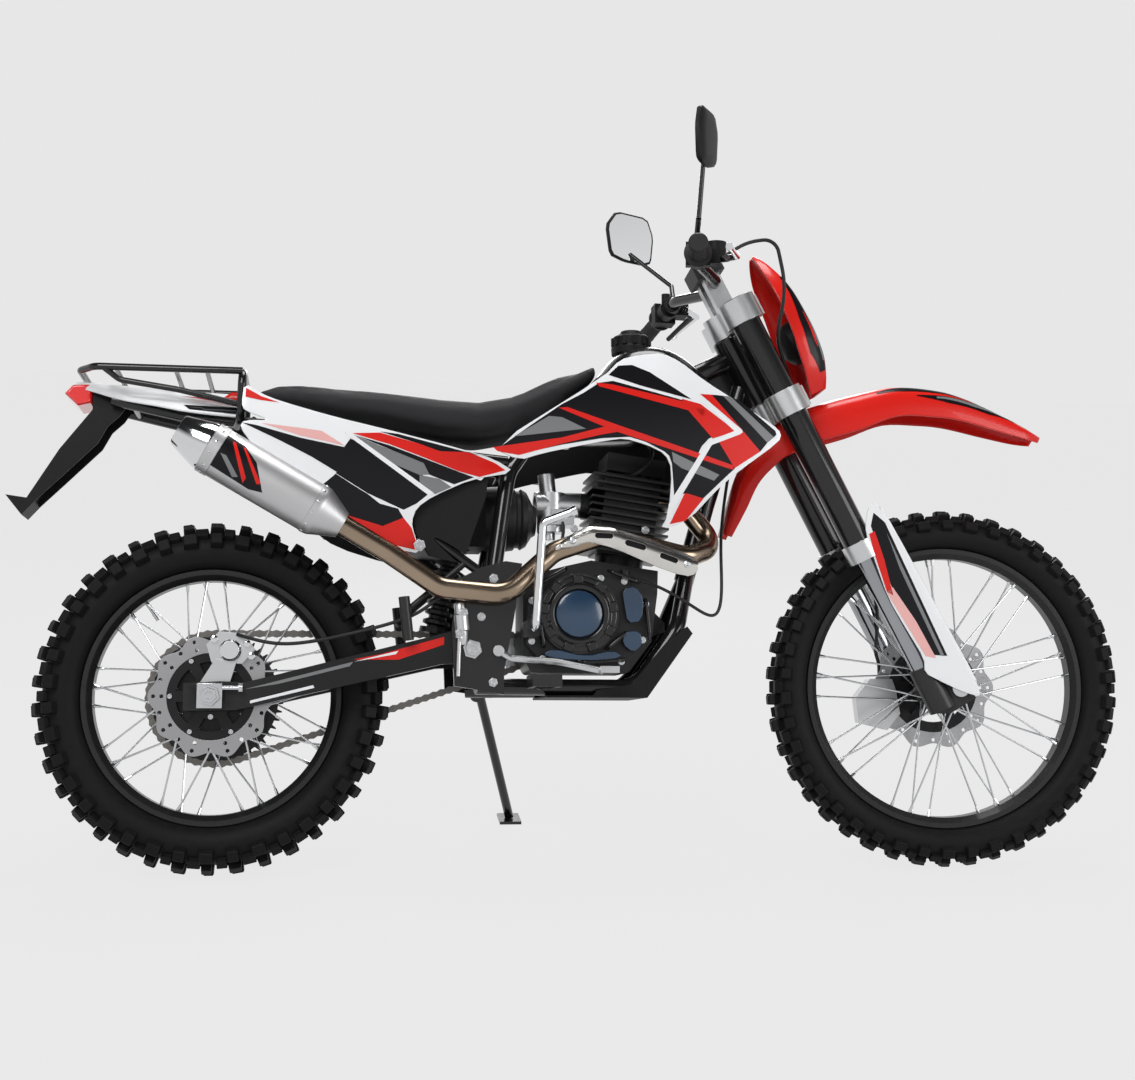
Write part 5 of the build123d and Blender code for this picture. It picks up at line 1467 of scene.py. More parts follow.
    def make_tail(self) -> None:
        """The tail fender with its red and black stripes, and the lamp."""
        tail = Channel(self.tail_rows, lambda row, a, d: Vector((row[0], a, row[1] - d)), ARCH)
        shell = tail.shell().build("tail_shell", Body.CHASSIS, WHITE_PLASTIC)
        thicken(shell, self.tail_wall)
        stand_for(shell, "tail_fender")

        def side_y(x: float, z: float) -> float:
            """The Y of the fender's right side, which widens to the front."""
            return -(86 + (x + 60) * 0.06) - 1.2

        for side in Side:
            for index, (finish, points) in enumerate(self.tail_stripes):
                stripe = sheet_shape(points, side_y, side=side)
                stripe = stripe.build(f"tail_stripe_{side.label}_{index}", Body.CHASSIS, finish)
                thicken(stripe, 0.6)
        lamp = Shape()
        x0, z0 = self.lamp_middle
        lamp.grid([[Vector((x0 + (x - x0) * share, y, z0 + (z - z0) * share)) for x, z in self.lamp_outline]
                   for share, y in self.lamp_sections], closed=True, caps=True)
        lens = lamp.build("tail_lamp_lens", Body.CHASSIS, RED_LENS, smooth=False)
        bevel(lens, 2.0, 3)
        stand_for(lens, "tail_lamp")

    def make(self) -> None:
        """Make all of the bodywork."""
        for panel in self.panels:
            self.make_panel(panel)
        self.make_tank()
        self.make_seat()
        self.make_front_fender()
        self.make_tail()


@dataclass
class Cockpit:
    """The headlight mask, lamp, bars, grips and mirrors."""

    # s, q of the front, half width and depth of each section
    mask_rows: Sequence[Row] = (
        (618, 96, 62, 36), (640, 106, 76, 44), (672, 116, 88, 50), (706, 120, 93, 50), (740, 122, 94, 46),
        (800, 121, 88, 38), (840, 117, 78, 32), (872, 110, 62, 24), (898, 103, 40, 14), (916, 97, 14, 5))
    mask_wall: float = 3.0
    # shares of the half width and the depth, from the middle to the folded edge
    folded: Outline = (
        (0.0, -0.02), (0.45, 0.0), (0.78, 0.03), (0.86, 0.10), (0.93, 0.32), (0.98, 0.65), (1.0, 1.0))
    # name, finish, lift, and s with the shares across where the strip starts and ends there
    mask_strips: Sequence[Tuple] = (
        ("dark", BLACK_PRINT_AND_SHADE, 0.5, ((650, 0.50, 0.70), (690, 0.42, 0.80), (760, 0.36, 0.76),
        (850, 0.30, 0.60))),
        ("grey", GREY_PLASTIC, 0.7, ((668, 0.50, 0.56), (740, 0.42, 0.52), (820, 0.36, 0.44))),
        ("slash", RED_PLASTIC, 0.8, ((696, 0.58, 0.60), (720, 0.54, 0.62), (770, 0.56, 0.58))),
        ("field", WHITE_PLASTIC, 0.6, ((700, 0.0, 0.36), (760, 0.0, 0.34), (840, 0.0, 0.28),
        (872, 0.0, 0.2))))
    lamp_place: Point2 = (728, 66)
    bowl: Outline = ((0, 0), (0, 24), (12, 40), (38, 46), (54, 46), (54, 43.6), (38, 43), (14, 32), (6, 0))
    reflector: Outline = ((54, 43.2), (38, 42), (16, 30), (8, 0))
    lens: Outline = ((54, 43.5), (57, 36), (59, 20), (60, 0))
    mirror_outline: Outline = ((-54, -14), (-60, 44), (-44, 84), (34, 90), (57, 58), (47, -6), (12, -17),
                               (-36, -20))
    # the height that a mirror's outline shrinks to
    mirror_middle: float = 34
    # depth and share of the outline of each of a mirror's sections
    mirror_sections: Outline = ((0, 0.97), (2, 1.0), (8, 0.99), (13, 0.88), (15, 0.6))
    glass_share: float = 0.92
    # elbow and end of each mirror's stem, and the mirror's turn in degrees
    stems: Sequence[Tuple] = (
        ((876, -266, 1196), (884, -276, 1306), 66),
        ((893, 266, 1194), (806, 284, 1266), 205))
    stem_foot: Outline = ((-9, 0), (-9, 9), (-4, 11), (6, 11), (12, 8), (16, 0))
    grip_ribs: int = 14
    grip_length: float = 120
    finishes: Sequence[Tuple[str, Finish]] = (
        ("triple_clamps", CAST_ALLOY), ("fork_tubes", GLOSS_BLACK), ("fork_stanchions", STANCHION),
        ("fork_feet", SATIN_BLACK), ("guard_brackets", CAST_ALLOY), ("handlebar", GLOSS_BLACK),
        ("controls", BLACK_PLASTIC_AND_SHADE), ("bar_pad", FOAM_COVER), ("front_brake_hose", SOFT_RUBBER),
        ("bar_clamps", CAST_ALLOY))

    def make_mask(self) -> None:
        """The red mask with its dark and white fields, left blank."""
        ahead = fork(0, 1, 0) - fork(0, 0, 0)
        channel = Channel(self.mask_rows, lambda row, across, down: fork(row[0], row[1] - down, across),
                          self.folded, ahead)
        shell = channel.shell().build("mask_shell", Body.STEERING, RED_PLASTIC)
        thicken(shell, self.mask_wall)
        stand_for(shell, "headlight_mask")
        channel.lay_strips("mask", self.mask_strips)

    def make_headlight(self) -> None:
        """The lamp: a bowl, a reflector and a clear lens."""
        forward = (fork(0, 1, 0) - fork(0, 0, 0)).normalized()
        base = fork(*self.lamp_place, 0)
        bowl, reflector, lens = Shape(), Shape(), Shape()
        for shape, profile in ((bowl, self.bowl), (reflector, self.reflector), (lens, self.lens)):
            shape.lathe(profile, base, forward, 48)
        stand_for(bowl.build("headlight_bowl", Body.STEERING, BLACK_PLASTIC_AND_SHADE), "headlight")
        reflector.build("headlight_reflector", Body.STEERING, CHROME)
        lens.build("headlight_lens", Body.STEERING, CLEAR_LENS)

    def make_mirrors(self) -> None:
        """Two mirrors on bent stems."""
        outline = rounded(self.mirror_outline, 1, 0.14)
        middle = self.mirror_middle
        shells, glass, stems = Shape(), Shape(), Shape()
        for elbow, end, turn in self.stems:
            matrix = Matrix.Translation(end) @ Matrix.Rotation(math.radians(turn), 4, "Z")
            matrix = matrix @ Matrix.Rotation(math.radians(90), 4, "X")
            shells.grid([[matrix @ Vector((x * share, middle + (z - middle) * share, depth)) for x,
                          z in outline]
                         for depth, share in self.mirror_sections], closed=True, caps=True)
            share = self.glass_share
            glass.add([matrix @ Vector((x * share, middle + (z - middle) * share, -0.5)) for x,
                       z in outline], [list(range(len(outline)))])
            foot = Vector((elbow[0], elbow[1] * 0.84, elbow[2] - 52))
            for a, b, radius in ((foot, Vector(elbow), 5.5), (Vector(elbow), Vector(end), 4.6)):
                stems.lathe([(0, radius), ((b - a).length, radius * 0.95)], a, b - a, 14)
            stems.lathe(self.stem_foot, foot, Vector(elbow) - foot, 16)
        shell = shells.build("mirror_shells", Body.STEERING, BLACK_PLASTIC_AND_SHADE)
        bevel(shell, 1.0, 2, 50)
        stand_for(shell, "mirrors")
        stems.build("mirror_stems", Body.STEERING, GLOSS_BLACK)
        glass.build("mirror_faces", Body.STEERING, MIRROR_GLASS)

    def make_grips(self) -> None:
        """Ribbed grips with their inner flanges and closed ends."""
        shape = Shape()
        bar = fork(*BAR, 0)
        for side in Side:
            inner = Vector((bar.x - 50, side * 165, bar.z + 9))
            outer = Vector((bar.x - 82, side * 400, bar.z - 14))
            along = (outer - inner).normalized()
            profile = [(0, 12), (0, 25), (5, 25.5), (7, 17)]
            for k in range(self.grip_ribs):
                profile += [(9 + 8 * k, 16.8), (11 + 8 * k, 15.2), (14 + 8 * k, 15.2), (16 + 8 * k, 16.8)]
            profile += [(121, 17.5), (124, 15), (124, 0)]
            shape.lathe(profile, outer - along * self.grip_length, along, 28)
        stand_for(shape.build("ribbed_grips", Body.STEERING, SOFT_RUBBER), "grips")

    def make(self) -> None:
        """Make all of the cockpit."""
        self.make_mask()
        self.make_headlight()
        self.make_mirrors()
        self.make_grips()
        for node, finish in self.finishes:
            if node in frame["nodes"]:
                dress(node, finish)


@dataclass
class ForkGuards:
    """The white fork guards with their red and black stripes."""

    face_y: float = -137.0
    wall: float = 3.2
    stripe_lift: float = 0.2
    order_lift: float = 0.12
    # s and q of the outline
    outline: Outline = (
        (385, 46), (374, 60), (300, 64), (160, 67), (54, 70), (-8, 72), (-30, 66), (-6, 40), (30, 12),
        (57, -8), (81, 4), (145, -1), (210, -5), (292, 6), (340, 14), (362, 26))
    # finish, order, s and q of each stripe
    stripes: Stripes = (
        (BLACK_PRINT_AND_SHADE, 1, ((366, 44), (340, 55), (66, 45), (84, 14), (145, 12), (210, 8), (292, 20),
        (346, 28))),
        (GREY_PLASTIC, 2, ((322, 49), (68, 40), (72, 34), (250, 40))),
        (RED_PLASTIC, 2, ((334, 18), (292, 9), (222, -2), (212, 6), (280, 22), (334, 30))),
        (PINK_PLASTIC, 2, ((222, -2), (210, -2), (145, 3), (84, 8), (72, 24), (150, 22), (226, 12))))
    # s and q where the wing turns round the leg's front, and its Y and added q from there on
    bends: Outline = ((374, 60), (300, 64), (160, 67), (54, 70), (-8, 72))
    wing: Outline = ((136.5, -1), (134, 2), (126, 4), (114, 4), (104, 2))

    def make(self) -> None:
        """Make both guards."""
        def flat(x: float, z: float) -> float:
            """The Y of the right guard's face."""
            return self.face_y

        for side in Side:
            name = side.label
            outline = [(p.x, p.z) for p in (fork(s, q, 0) for s, q in rounded(self.outline))]
            guard = sheet_shape(outline, flat, side=side)
            shell = guard.build(f"fork_guard_{name}", Body.STEERING, WHITE_PLASTIC)
            face_outward(shell, Body.STEERING, side)
            thicken(shell, self.wall)
            bevel(shell, 1.0, 3, 50)
            stand_for(shell, "fork_guards")
            wing = Shape()
            wing.grid([[fork(s, q + dq, side * y) for y, dq in self.wing] for s, q in self.bends])
            fold = wing.build(f"fork_guard_wing_{name}", Body.STEERING, WHITE_PLASTIC)
            thicken(fold, 3.4, 0.0)
            subdivide(fold, 1)
            for index, (finish, order, points) in enumerate(self.stripes):
                spots = [(p.x, p.z) for p in (fork(s, q, 0) for s, q in points)]
                lay_stripe(f"fork_guard_stripe_{name}_{index}", Body.STEERING, finish,
                           spots, flat, side, self.stripe_lift + self.order_lift * order)


@dataclass
class Exhaust:
    """The header, its heat shield and the muffler with its patch."""

    back: Point3 = (-12, -170, 761)
    front: Point3 = (185, -152, 651)
    radius: float = 46.0
    rivets: int = 12
    hanger_radius: float = 6
    # where the hanger leaves the can, as a distance from its front, and its end on the frame
    hanger_start: float = 147
    hanger_end: Point3 = (64, -72, 816)
    # name, finish, lift and outline of each field on the can
    patches: Sequence[Tuple] = (
        ("patch", BLACK_PRINT_AND_SHADE, 0.5, ((25, 776), (56, 756), (76, 727), (86, 676), (62, 682), (-4, 722))),
        ("slash_a", RED_PLASTIC, 0.8, ((34, 764), (40, 762), (58, 700), (52, 692))),
        ("slash_b", RED_PLASTIC, 0.8, ((52, 756), (57, 752), (84, 690), (76, 690))),
        ("slash_c", GREY_PLASTIC, 0.8, ((14, 742), (24, 738), (44, 702), (34, 702))))
    patch_step: float = 6.0
    # X, lower Z and upper Z of the shield
    spine: Sequence[Row] = (
        (609, 588, 598), (640, 594, 622), (674, 606, 638), (720, 596, 634), (790, 566, 612),
        (850, 546, 590), (872, 552, 580))
    # middle, half length, half width and turn in degrees of each slot
    slots: Sequence[Tuple] = (
        ((698, 618), 17, 5.0, -2), ((756, 602), 20, 5.5, -16), ((818, 579), 18, 5.0, -20))
    slot_steps: int = 16
    shield_y: float = -151
    shield_bow: float = 11
    shield_step: float = 5.0
    screws: Outline = ((640, 608), (852, 568))
    screw_profile: Outline = ((0, 7), (3, 6), (4, 4), (2.6, 2.5), (2.6, 0))

    def can_y(self, x: float, z: float) -> float:
        """The Y of the can's right side.

        Args:
            x: X.
            z: Z.

        Returns:
            Y.
        """
        run = Vector(self.back) - Vector(self.front)
        level = Vector((run.x, 0, run.z))
        flat = level.normalized()
        reach = Vector((x - self.front[0], 0, z - self.front[2]))
        off = reach.dot(Vector((flat.z, 0, -flat.x)))
        axis_y = self.front[1] + run.y * reach.dot(flat) / level.length
        return axis_y - math.sqrt(max(1.0, self.radius * self.radius - off * off))

    def make_muffler(self) -> None:
        """The muffler's can, cap, rivets, hanger and printed fields."""
        front = Vector(self.front)
        along = (Vector(self.back) - front).normalized()
        length = (Vector(self.back) - front).length
        r = self.radius
        can = Shape()
        can.lathe([(-47, 0), (-47, 24), (-44, 25.5), (-2, r - 1), (0, r), (6, r + 1), (16, r + 1), (17, r),
                   (length - 24, r), (length - 23, r + 1.4), (length - 3, r + 1.4), (length - 2, r)],
                  front, along, 64)
        stand_for(can.build("muffler_can", Body.CHASSIS, BRUSHED), "muffler")
        cap = Shape()
        cap.lathe([(length - 2, r - 0.4), (length + 4, r - 1), (length + 54, r - 17), (length + 57, r - 20),
                   (length + 55, r - 22), (length + 22, r - 27), (length + 10, 0)], front, along, 64)
        cap.build("muffler_cap", Body.CHASSIS, CHROME)
        rivets = Shape()
        side = along.orthogonal().normalized()
        other = along.cross(side)
        for k in range(self.rivets):
            angle = math.radians(360 / self.rivets * k)
            out = side * math.cos(angle) + other * math.sin(angle)
            for at in (11, length - 13):
                rivets.lathe([(0, 3.2), (1.4, 2.6), (2.0, 0)], front + along * at + out * (r + 0.8), out,
                             10)
        rivets.build("muffler_rivets", Body.CHASSIS, STEEL)
        hanger = Shape()
        start, end = front + along * self.hanger_start, Vector(self.hanger_end)
        hanger.lathe([(0, self.hanger_radius), ((end - start).length, self.hanger_radius)], start,
                     end - start, 14)
        hanger.build("muffler_hanger", Body.CHASSIS, SATIN_BLACK)
        for name, finish, lift, points in self.patches:
            lay_stripe(f"muffler_{name}", Body.CHASSIS, finish, points, self.can_y,
                       Side.RIGHT, lift, self.patch_step)

    def shield_limits(self, x: float) -> Point2:
        """The shield's lower and upper Z.

        Args:
            x: X.

        Returns:
            Both heights.
        """
        for a, b in zip(self.spine, self.spine[1:]):
            if x <= b[0]:
                share = (x - a[0]) / (b[0] - a[0])
                return a[1] + (b[1] - a[1]) * share, a[2] + (b[2] - a[2]) * share
        return self.spine[-1][1:]

    def slot_outline(self, middle: Point2, half: float, thick: float, turn: float) -> List[Point2]:
        """A slot with round ends.

        Args:
            middle: its middle in X and Z.
            half: half its length.
            thick: half its width.
            turn: its turn in degrees.

        Returns:
            Its outline.
        """
        lean = math.radians(turn)
        loop = []
        for k in range(self.slot_steps):
            angle = 2 * math.pi * k / self.slot_steps
            a = (half - thick) * math.copysign(1, math.cos(angle)) + thick * math.cos(angle)
            b = thick * math.sin(angle)
            loop.append((middle[0] + a * math.cos(lean) - b * math.sin(lean),
                         middle[1] + a * math.sin(lean) + b * math.cos(lean)))
        return loop

    def make_shield(self) -> None:
        """The header's bowed shield with its slots, black sheets of painted shade behind the slots, and its
        screws.
        """
        outline = rounded([(x, low) for x, low, _ in self.spine] + [(x, high) for x, _,
                                                                    high in reversed(self.spine)])
        holes = [self.slot_outline(*slot) for slot in self.slots]
        flat = plate_shape(outline, holes, Vector(), self.shield_y, 2.4, 0.5)
        work = bmesh.new()
        points = [work.verts.new(p) for p in flat.points]
        for face in flat.faces:
            work.faces.new([points[i] for i in face])
        slice_up(work, self.shield_step)
        for vert in work.verts:
            low, high = self.shield_limits(vert.co.x)
            off = (vert.co.z - (low + high) / 2) / max(8.0, (high - low) / 2)
            vert.co.y += self.shield_bow * off * off
        work.verts.index_update()
        shape = Shape()
        shape.add([v.co.copy() for v in work.verts], [[v.index for v in f.verts] for f in work.faces])
        work.free()
        stand_for(shape.build("bowed_shield", Body.CHASSIS, SHIELD_STEEL), "heat_shield")
        # Black sheets just behind the slots: painted shade for the dark gap behind the shield
        for index, loop in enumerate(holes):
            slot_shade_sheet = plate_shape(loop, [], Vector(), self.shield_y + 4.5, 1.0, 0.2)
            slot_shade_sheet.build(f"shield_gap_{index}", Body.CHASSIS, BLACK_PRINT_AND_SHADE)
        screws = Shape()
        for x, z in self.screws:
            screws.lathe(self.screw_profile, Vector((x, self.shield_y - 1, z)), RIGHT, 16)
        screws.build("shield_screws", Body.CHASSIS, CHROME)

    def make(self) -> None:
        """Make all of the exhaust's pieces."""
        self.make_muffler()
        dress("header_pipe", HOT_STEEL)
        self.make_shield()


@dataclass
class Powertrain:
    """The engine's finishes, its bolts and cover, the cables and the chain."""

    chain_y: float = 68.0
    pitch: float = 15.875
    drive: Point2 = (550.0, 417.0)
    teeth: Tuple[int, int] = (48, 13)
    link_radius: float = 7.0
    link_waist: float = 4.6
    link_thickness: float = 1.4
    # distance from the chain's middle to its outer and inner side plates
    outer_plate: float = 6.2
    inner_plate: float = 4.6
    roller: Outline = ((-8.6, 0), (-8.6, 2.6), (-4.6, 2.6), (-4.6, 4.6), (4.6, 4.6), (4.6, 2.6),
                       (8.6, 2.6), (8.6, 0))
    # X, Y, Z and radius of the bolt heads on each side
    right_heads: Sequence[Row] = (
        (572, -101, 428, 5), (592, -101, 396, 5), (664, -101, 392, 5), (738, -101, 392, 5),
        (778, -101, 432, 5), (784, -101, 498, 5), (744, -101, 540, 5), (700, -101, 545, 5),
        (646, -101, 546, 5), (572, -101, 502, 5), (462, -123, 411, 14), (500, -120, 352, 7),
        (500, -120, 540, 7), (478, -120, 470, 6), (438, -137, 440, 7), (444, -137, 476, 7),
        (364, -138, 596, 9), (0, -132, 326, 15), (655, -71, 640, 6), (790, -71, 640, 6))
    left_heads: Sequence[Row] = (
        (622, 62, 400, 5), (744, 62, 396, 5), (778, 62, 440, 5), (740, 62, 538, 5), (650, 62, 538, 5),
        (462, 123, 411, 14), (500, 120, 540, 7), (0, 118, 326, 15))
    # heads larger than this are hexagons
    largest_round_head: float = 6
    cover_middle: Point3 = (658, 0, 478)
    cover_disc: Outline = ((112, 0), (112, 43), (114.5, 42), (116.5, 38), (117, 0))
    cover_ring: Outline = ((104, 74), (110, 73), (113, 69), (113, 60), (115, 58), (118, 54), (118, 48),
                           (116, 45), (112, 45))
    cover_notches: int = 9
    # name, Y and outline of the blue faces beside the cover
    cover_faces: Sequence[Tuple] = (
        ("front", -112.6, ((738, 524), (764, 530), (778, 506), (774, 466), (748, 462), (742, 494))),
        ("mid", -112.6, ((742, 446), (770, 448), (776, 424), (758, 408), (738, 424))),
        ("low", -112.4, ((590, 404), (612, 396), (700, 392), (738, 400), (722, 412), (668, 400),
        (610, 414))))
    # X, Z, half length and turn in degrees of the raised ribs
    cover_ribs: Sequence[Row] = (
        (742, 548, 34, -20), (700, 392, 46, 4), (612, 548, 30, 30), (590, 440, 26, 100), (786, 470, 40, 96),
        (728, 430, 26, 40))
    # name, radius and route of each cable
    cables: Sequence[Tuple] = (
        ("plug_lead", 4.0, ((760, -58, 742), (768, -84, 742), (790, -92, 756), (810, -70, 790),
                            (806, -30, 806))),
        ("carb_vent", 3.0, ((640, -20, 660), (640, -58, 640), (628, -70, 590), (600, -80, 556),
                            (560, -92, 540))),
        ("rear_brake_hose", 3.2, ((444, -128, 486), (440, -134, 506), (404, -126, 516), (372, -118, 470),
                                  (240, -112, 436), (120, -112, 410), (70, -104, 428), (44, -88, 436))),
        ("clutch_cable", 3.0, ((756, -100, 546), (796, -102, 539), (860, -100, 505), (902, -96, 476),
                               (926, -90, 480), (934, -84, 530), (936, -58, 620), (950, -36, 700),
                               (966, -18, 770), (984, -4, 836))))
    finishes: Sequence[Tuple[str, Finish]] = (
        ("crankcase", ENGINE_BLACK), ("engine_covers", ENGINE_BLACK), ("cylinder", ENGINE_BLACK),
        ("carburettor", CAST_ALLOY), ("intake_boot", SOFT_RUBBER), ("airbox", BLACK_PLASTIC_AND_SHADE),
        ("main_frame", GLOSS_BLACK), ("subframe", GLOSS_BLACK), ("swingarm", SATIN_BLACK),
        ("shock_absorber", SATIN_BLACK), ("side_stand", GLOSS_BLACK), ("luggage_rack", GLOSS_BLACK),
        ("plate_bracket", BLACK_PLASTIC_AND_SHADE), ("footpegs", SATIN_BLACK), ("brake_pedal", CAST_ALLOY),
        ("gear_lever", GLOSS_BLACK), ("kick_starter", CHROME), ("skid_plate", BLACK_PLASTIC_AND_SHADE),
        ("drive_sprocket", STEEL), ("rear_sprocket", SATIN_BLACK))

    def make_heads(self, name: str, spots: Sequence[Row], outward: Vector,
                   recess: Callable[[float], Outline]) -> None:
        """Round and hexagonal bolt heads where the real ones sit.

        Args:
            name: the piece's name.
            spots: X, Y, Z and radius of each head.
            outward: the way they point.
            recess: the profile of a head's middle for its radius.
        """
        shape = Shape()
        for x, y, z, radius in spots:
            head = [(0, radius * 1.25), (1.5, radius * 1.25), (1.5, radius), (radius * 0.7, radius * 0.92)]
            shape.lathe(head + recess(radius), Vector((x, y, z)), outward,
                        6 if radius > self.largest_round_head else 18)
        shape.build(name, Body.CHASSIS, STEEL, smooth=False)

    def make_bolts(self) -> None:
        """The bolt heads on both sides: the right ones have a socket and the left ones are plain."""
        self.make_heads("right_bolts", self.right_heads, RIGHT,
                        lambda r: [(r * 0.7, r * 0.5), (r * 0.3, r * 0.45), (r * 0.3, 0)])
        self.make_heads("left_bolts", self.left_heads, -RIGHT, lambda r: [(r * 0.7, 0)])

    def make_cover(self) -> None:
        """The clutch cover's notched ring, its blue centre, and the blue faces and ribs beside it."""
        centre = Vector(self.cover_middle)
        disc, ring = Shape(), Shape()
        disc.lathe(self.cover_disc, centre, RIGHT, 64)
        ring.lathe(self.cover_ring, centre, RIGHT, 96)
        for k in range(self.cover_notches):
            angle = math.radians(12 + 360 / self.cover_notches * k)
            out = Vector((math.cos(angle), 0, math.sin(angle)))
            across = Vector((-out.z, 0, out.x))
            ring.box(centre + out * 64 + RIGHT * 113, out * 9, across * 11, RIGHT * 5, 0.8)
        disc.build("cover_centre", Body.CHASSIS, BLUE_COVER)
        notched = ring.build("cover_ring", Body.CHASSIS, GLOSS_BLACK)
        bevel(notched, 1.2, 2)
        for name, y, outline in self.cover_faces:
            face = plate_shape(rounded(outline), [], Vector(), y, 3.0, 1.0)
            face.build(f"cover_{name}_face", Body.CHASSIS, BLUE_COVER)
        relief = Shape()
        for x, z, length, turn in self.cover_ribs:
            lean = math.radians(turn)
            along = Vector((math.cos(lean), 0, math.sin(lean)))
            relief.box(Vector((x, -112, z)), along * length, Vector((-along.z, 0, along.x)) * 4, RIGHT * 5,
                       0.7)
        block = relief.build("cover_relief", Body.CHASSIS, GLOSS_BLACK)
        bevel(block, 2.0, 2)

    def chain_path(self) -> List[Vector]:
        """Pin places round both sprockets."""
        big, small = (self.pitch / (2 * math.sin(math.pi / teeth)) for teeth in self.teeth)
        rear = (0.0, REAR_AXLE_HEIGHT)
        dx, dz = self.drive[0] - rear[0], self.drive[1] - rear[1]
        span, slope = math.hypot(dx, dz), math.atan2(dz, dx)
        wrap = math.asin((big - small) / span)
        straight = span * math.cos(wrap)
        top, bottom = slope + math.pi / 2 - wrap, slope - math.pi / 2 + wrap
        # length, first angle, last angle, share of the way to the drive sprocket at each end
        runs = [(straight, top, top, 0, 1), (small * (math.pi - 2 * wrap), top, bottom, 1, 1),
                (straight, bottom, bottom, 1, 0), (big * (math.pi + 2 * wrap), bottom, top - 2 * math.pi,
                                                   0, 0)]
        total = sum(run[0] for run in runs)
        count = 2 * round(total / self.pitch / 2)
        pins = []
        for k in range(count):
            left = total * k / count
            for length, angle, last, share, end in runs:
                if left < length:
                    break
                left -= length
            angle += (last - angle) * left / length
            share += (end - share) * left / length
            radius = big + (small - big) * share
            out = Vector((math.cos(angle), 0, math.sin(angle)))
            pins.append(Vector((rear[0] + dx * share, self.chain_y, rear[1] + dz * share)) + out * radius)
        return pins

    def make_chain(self) -> None:
        """The chain's side plates, pins and rollers."""
        pins = self.chain_path()
        shape = Shape()
        count = len(pins)
        for k, pin in enumerate(pins):
            following = pins[(k + 1) % count]
            length = (following - pin).length
            along = (following - pin).normalized()
            up = along.cross(Vector((0, 1, 0)))
            outline = []
            for centre, start in ((0.0, 90), (length, -90)):
                for step in range(5):
                    angle = math.radians(start + 45 * step)
                    outline.append((centre + self.link_radius * math.cos(angle),
                                    self.link_radius * math.sin(angle)))
                if centre == 0.0:
                    outline.append((length / 2, -self.link_waist))
            outline.append((length / 2, self.link_waist))
            for side in Side:
                near = side * (self.inner_plate if k % 2 else self.outer_plate)
                rows = [[pin + along * a + up * b + Vector((0, near + side * depth, 0)) for a, b in outline]
                        for depth in (0.0, self.link_thickness)]
                shape.grid(rows, closed=True, caps=True)
            shape.lathe(self.roller, pin, Vector((0, 1, 0)), 10)
        stand_for(shape.build("chain_links", Body.CHASSIS, CHAIN_STEEL), "drive_chain")

    @staticmethod
    def cable(name: str, radius: float, points: Sequence[Point3]) -> None:
        """A cable fixed to the chassis.

        Args:
            name: the piece's name.
            radius: its radius.
            points: its route.
        """
        curve = bpy.data.curves.new(name, "CURVE")
        curve.dimensions = "3D"
        spline = curve.splines.new("NURBS")
        spline.points.add(len(points) - 1)
        matrix = BIKE.matrix(Body.CHASSIS)
        for place, point in zip(spline.points, points):
            place.co = (*(matrix @ Vector(point)), 1)
        spline.order_u = 4
        spline.use_endpoint_u = True
        spline.resolution_u = 10
        curve.bevel_depth = radius * MM
        curve.bevel_resolution = 3
        mesh = curve_mesh(f"{name}_line", curve)
        mesh.materials.clear()
        mesh.materials.append(FINISHES.get(SOFT_RUBBER))
        mesh.polygons.foreach_set("use_smooth", [True] * len(mesh.polygons))
        piece = link_object(name, mesh)
        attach(piece, Body.CHASSIS.value)

    def make(self) -> None:
        """Make all of the powertrain's pieces and dress the CAD ones."""
        self.make_bolts()
        self.make_cover()
        self.make_chain()
        for cable in self.cables:
            self.cable(*cable)
        for node, finish in self.finishes:
            dress(node, finish)


@dataclass
class RearBrake:
    """The chain adjuster's plate, the caliper's piston cap and the rear master cylinder."""

    plate_outline: Outline = ((-22, 304), (22, 304), (22, 348), (-22, 348))
    plate_y: float = -119
    screw_place: Point3 = (20, -116, 340)
    screw_profile: Outline = ((0, 0), (0, 4), (30, 4), (30, 8.5), (37, 8.5), (37, 0))
    caliper_y: float = -74
    piston_place: Point2 = (32, 408)
    piston_profile: Outline = ((0, 20), (6, 20), (8, 18), (14, 18), (16, 16), (16, 0))
    bolt_places: Outline = ((4, 428), (62, 420), (70, 398))
    bolt_profile: Outline = ((0, 7), (12, 7), (13, 5), (13, 0))
    master_top: Point3 = (438, -128, 494)
    master_foot: Point3 = (446, -128, 420)
    master_profile: Outline = ((0, 0), (0, 9), (4, 11), (20, 11), (22, 13), (50, 13), (52, 10), (66, 8),
                               (76, 5), (76, 0))

    def make(self) -> None:
        """Make the small bright pieces by the rear axle and the pedal."""
        plate = plate_shape(self.plate_outline, [], Vector(), self.plate_y, 4.0, 1.0)
        plate.build("adjuster_plate", Body.CHASSIS, STEEL)
        screw, cap, master = Shape(), Shape(), Shape()
        screw.lathe(self.screw_profile, Vector(self.screw_place), Vector((1, 0, 0)), 12)
        screw.build("adjuster_screw", Body.CHASSIS, STEEL)
        x, z = self.piston_place
        cap.lathe(self.piston_profile, Vector((x, self.caliper_y, z)), RIGHT, 32)
        for x, z in self.bolt_places:
            cap.lathe(self.bolt_profile, Vector((x, self.caliper_y, z)), RIGHT, 6)
        cap.build("caliper_caps", Body.CHASSIS, CHROME)
        top = Vector(self.master_top)
        master.lathe(self.master_profile, top, Vector(self.master_foot) - top, 24)
        master.build("rear_master", Body.CHASSIS, CAST_ALLOY)


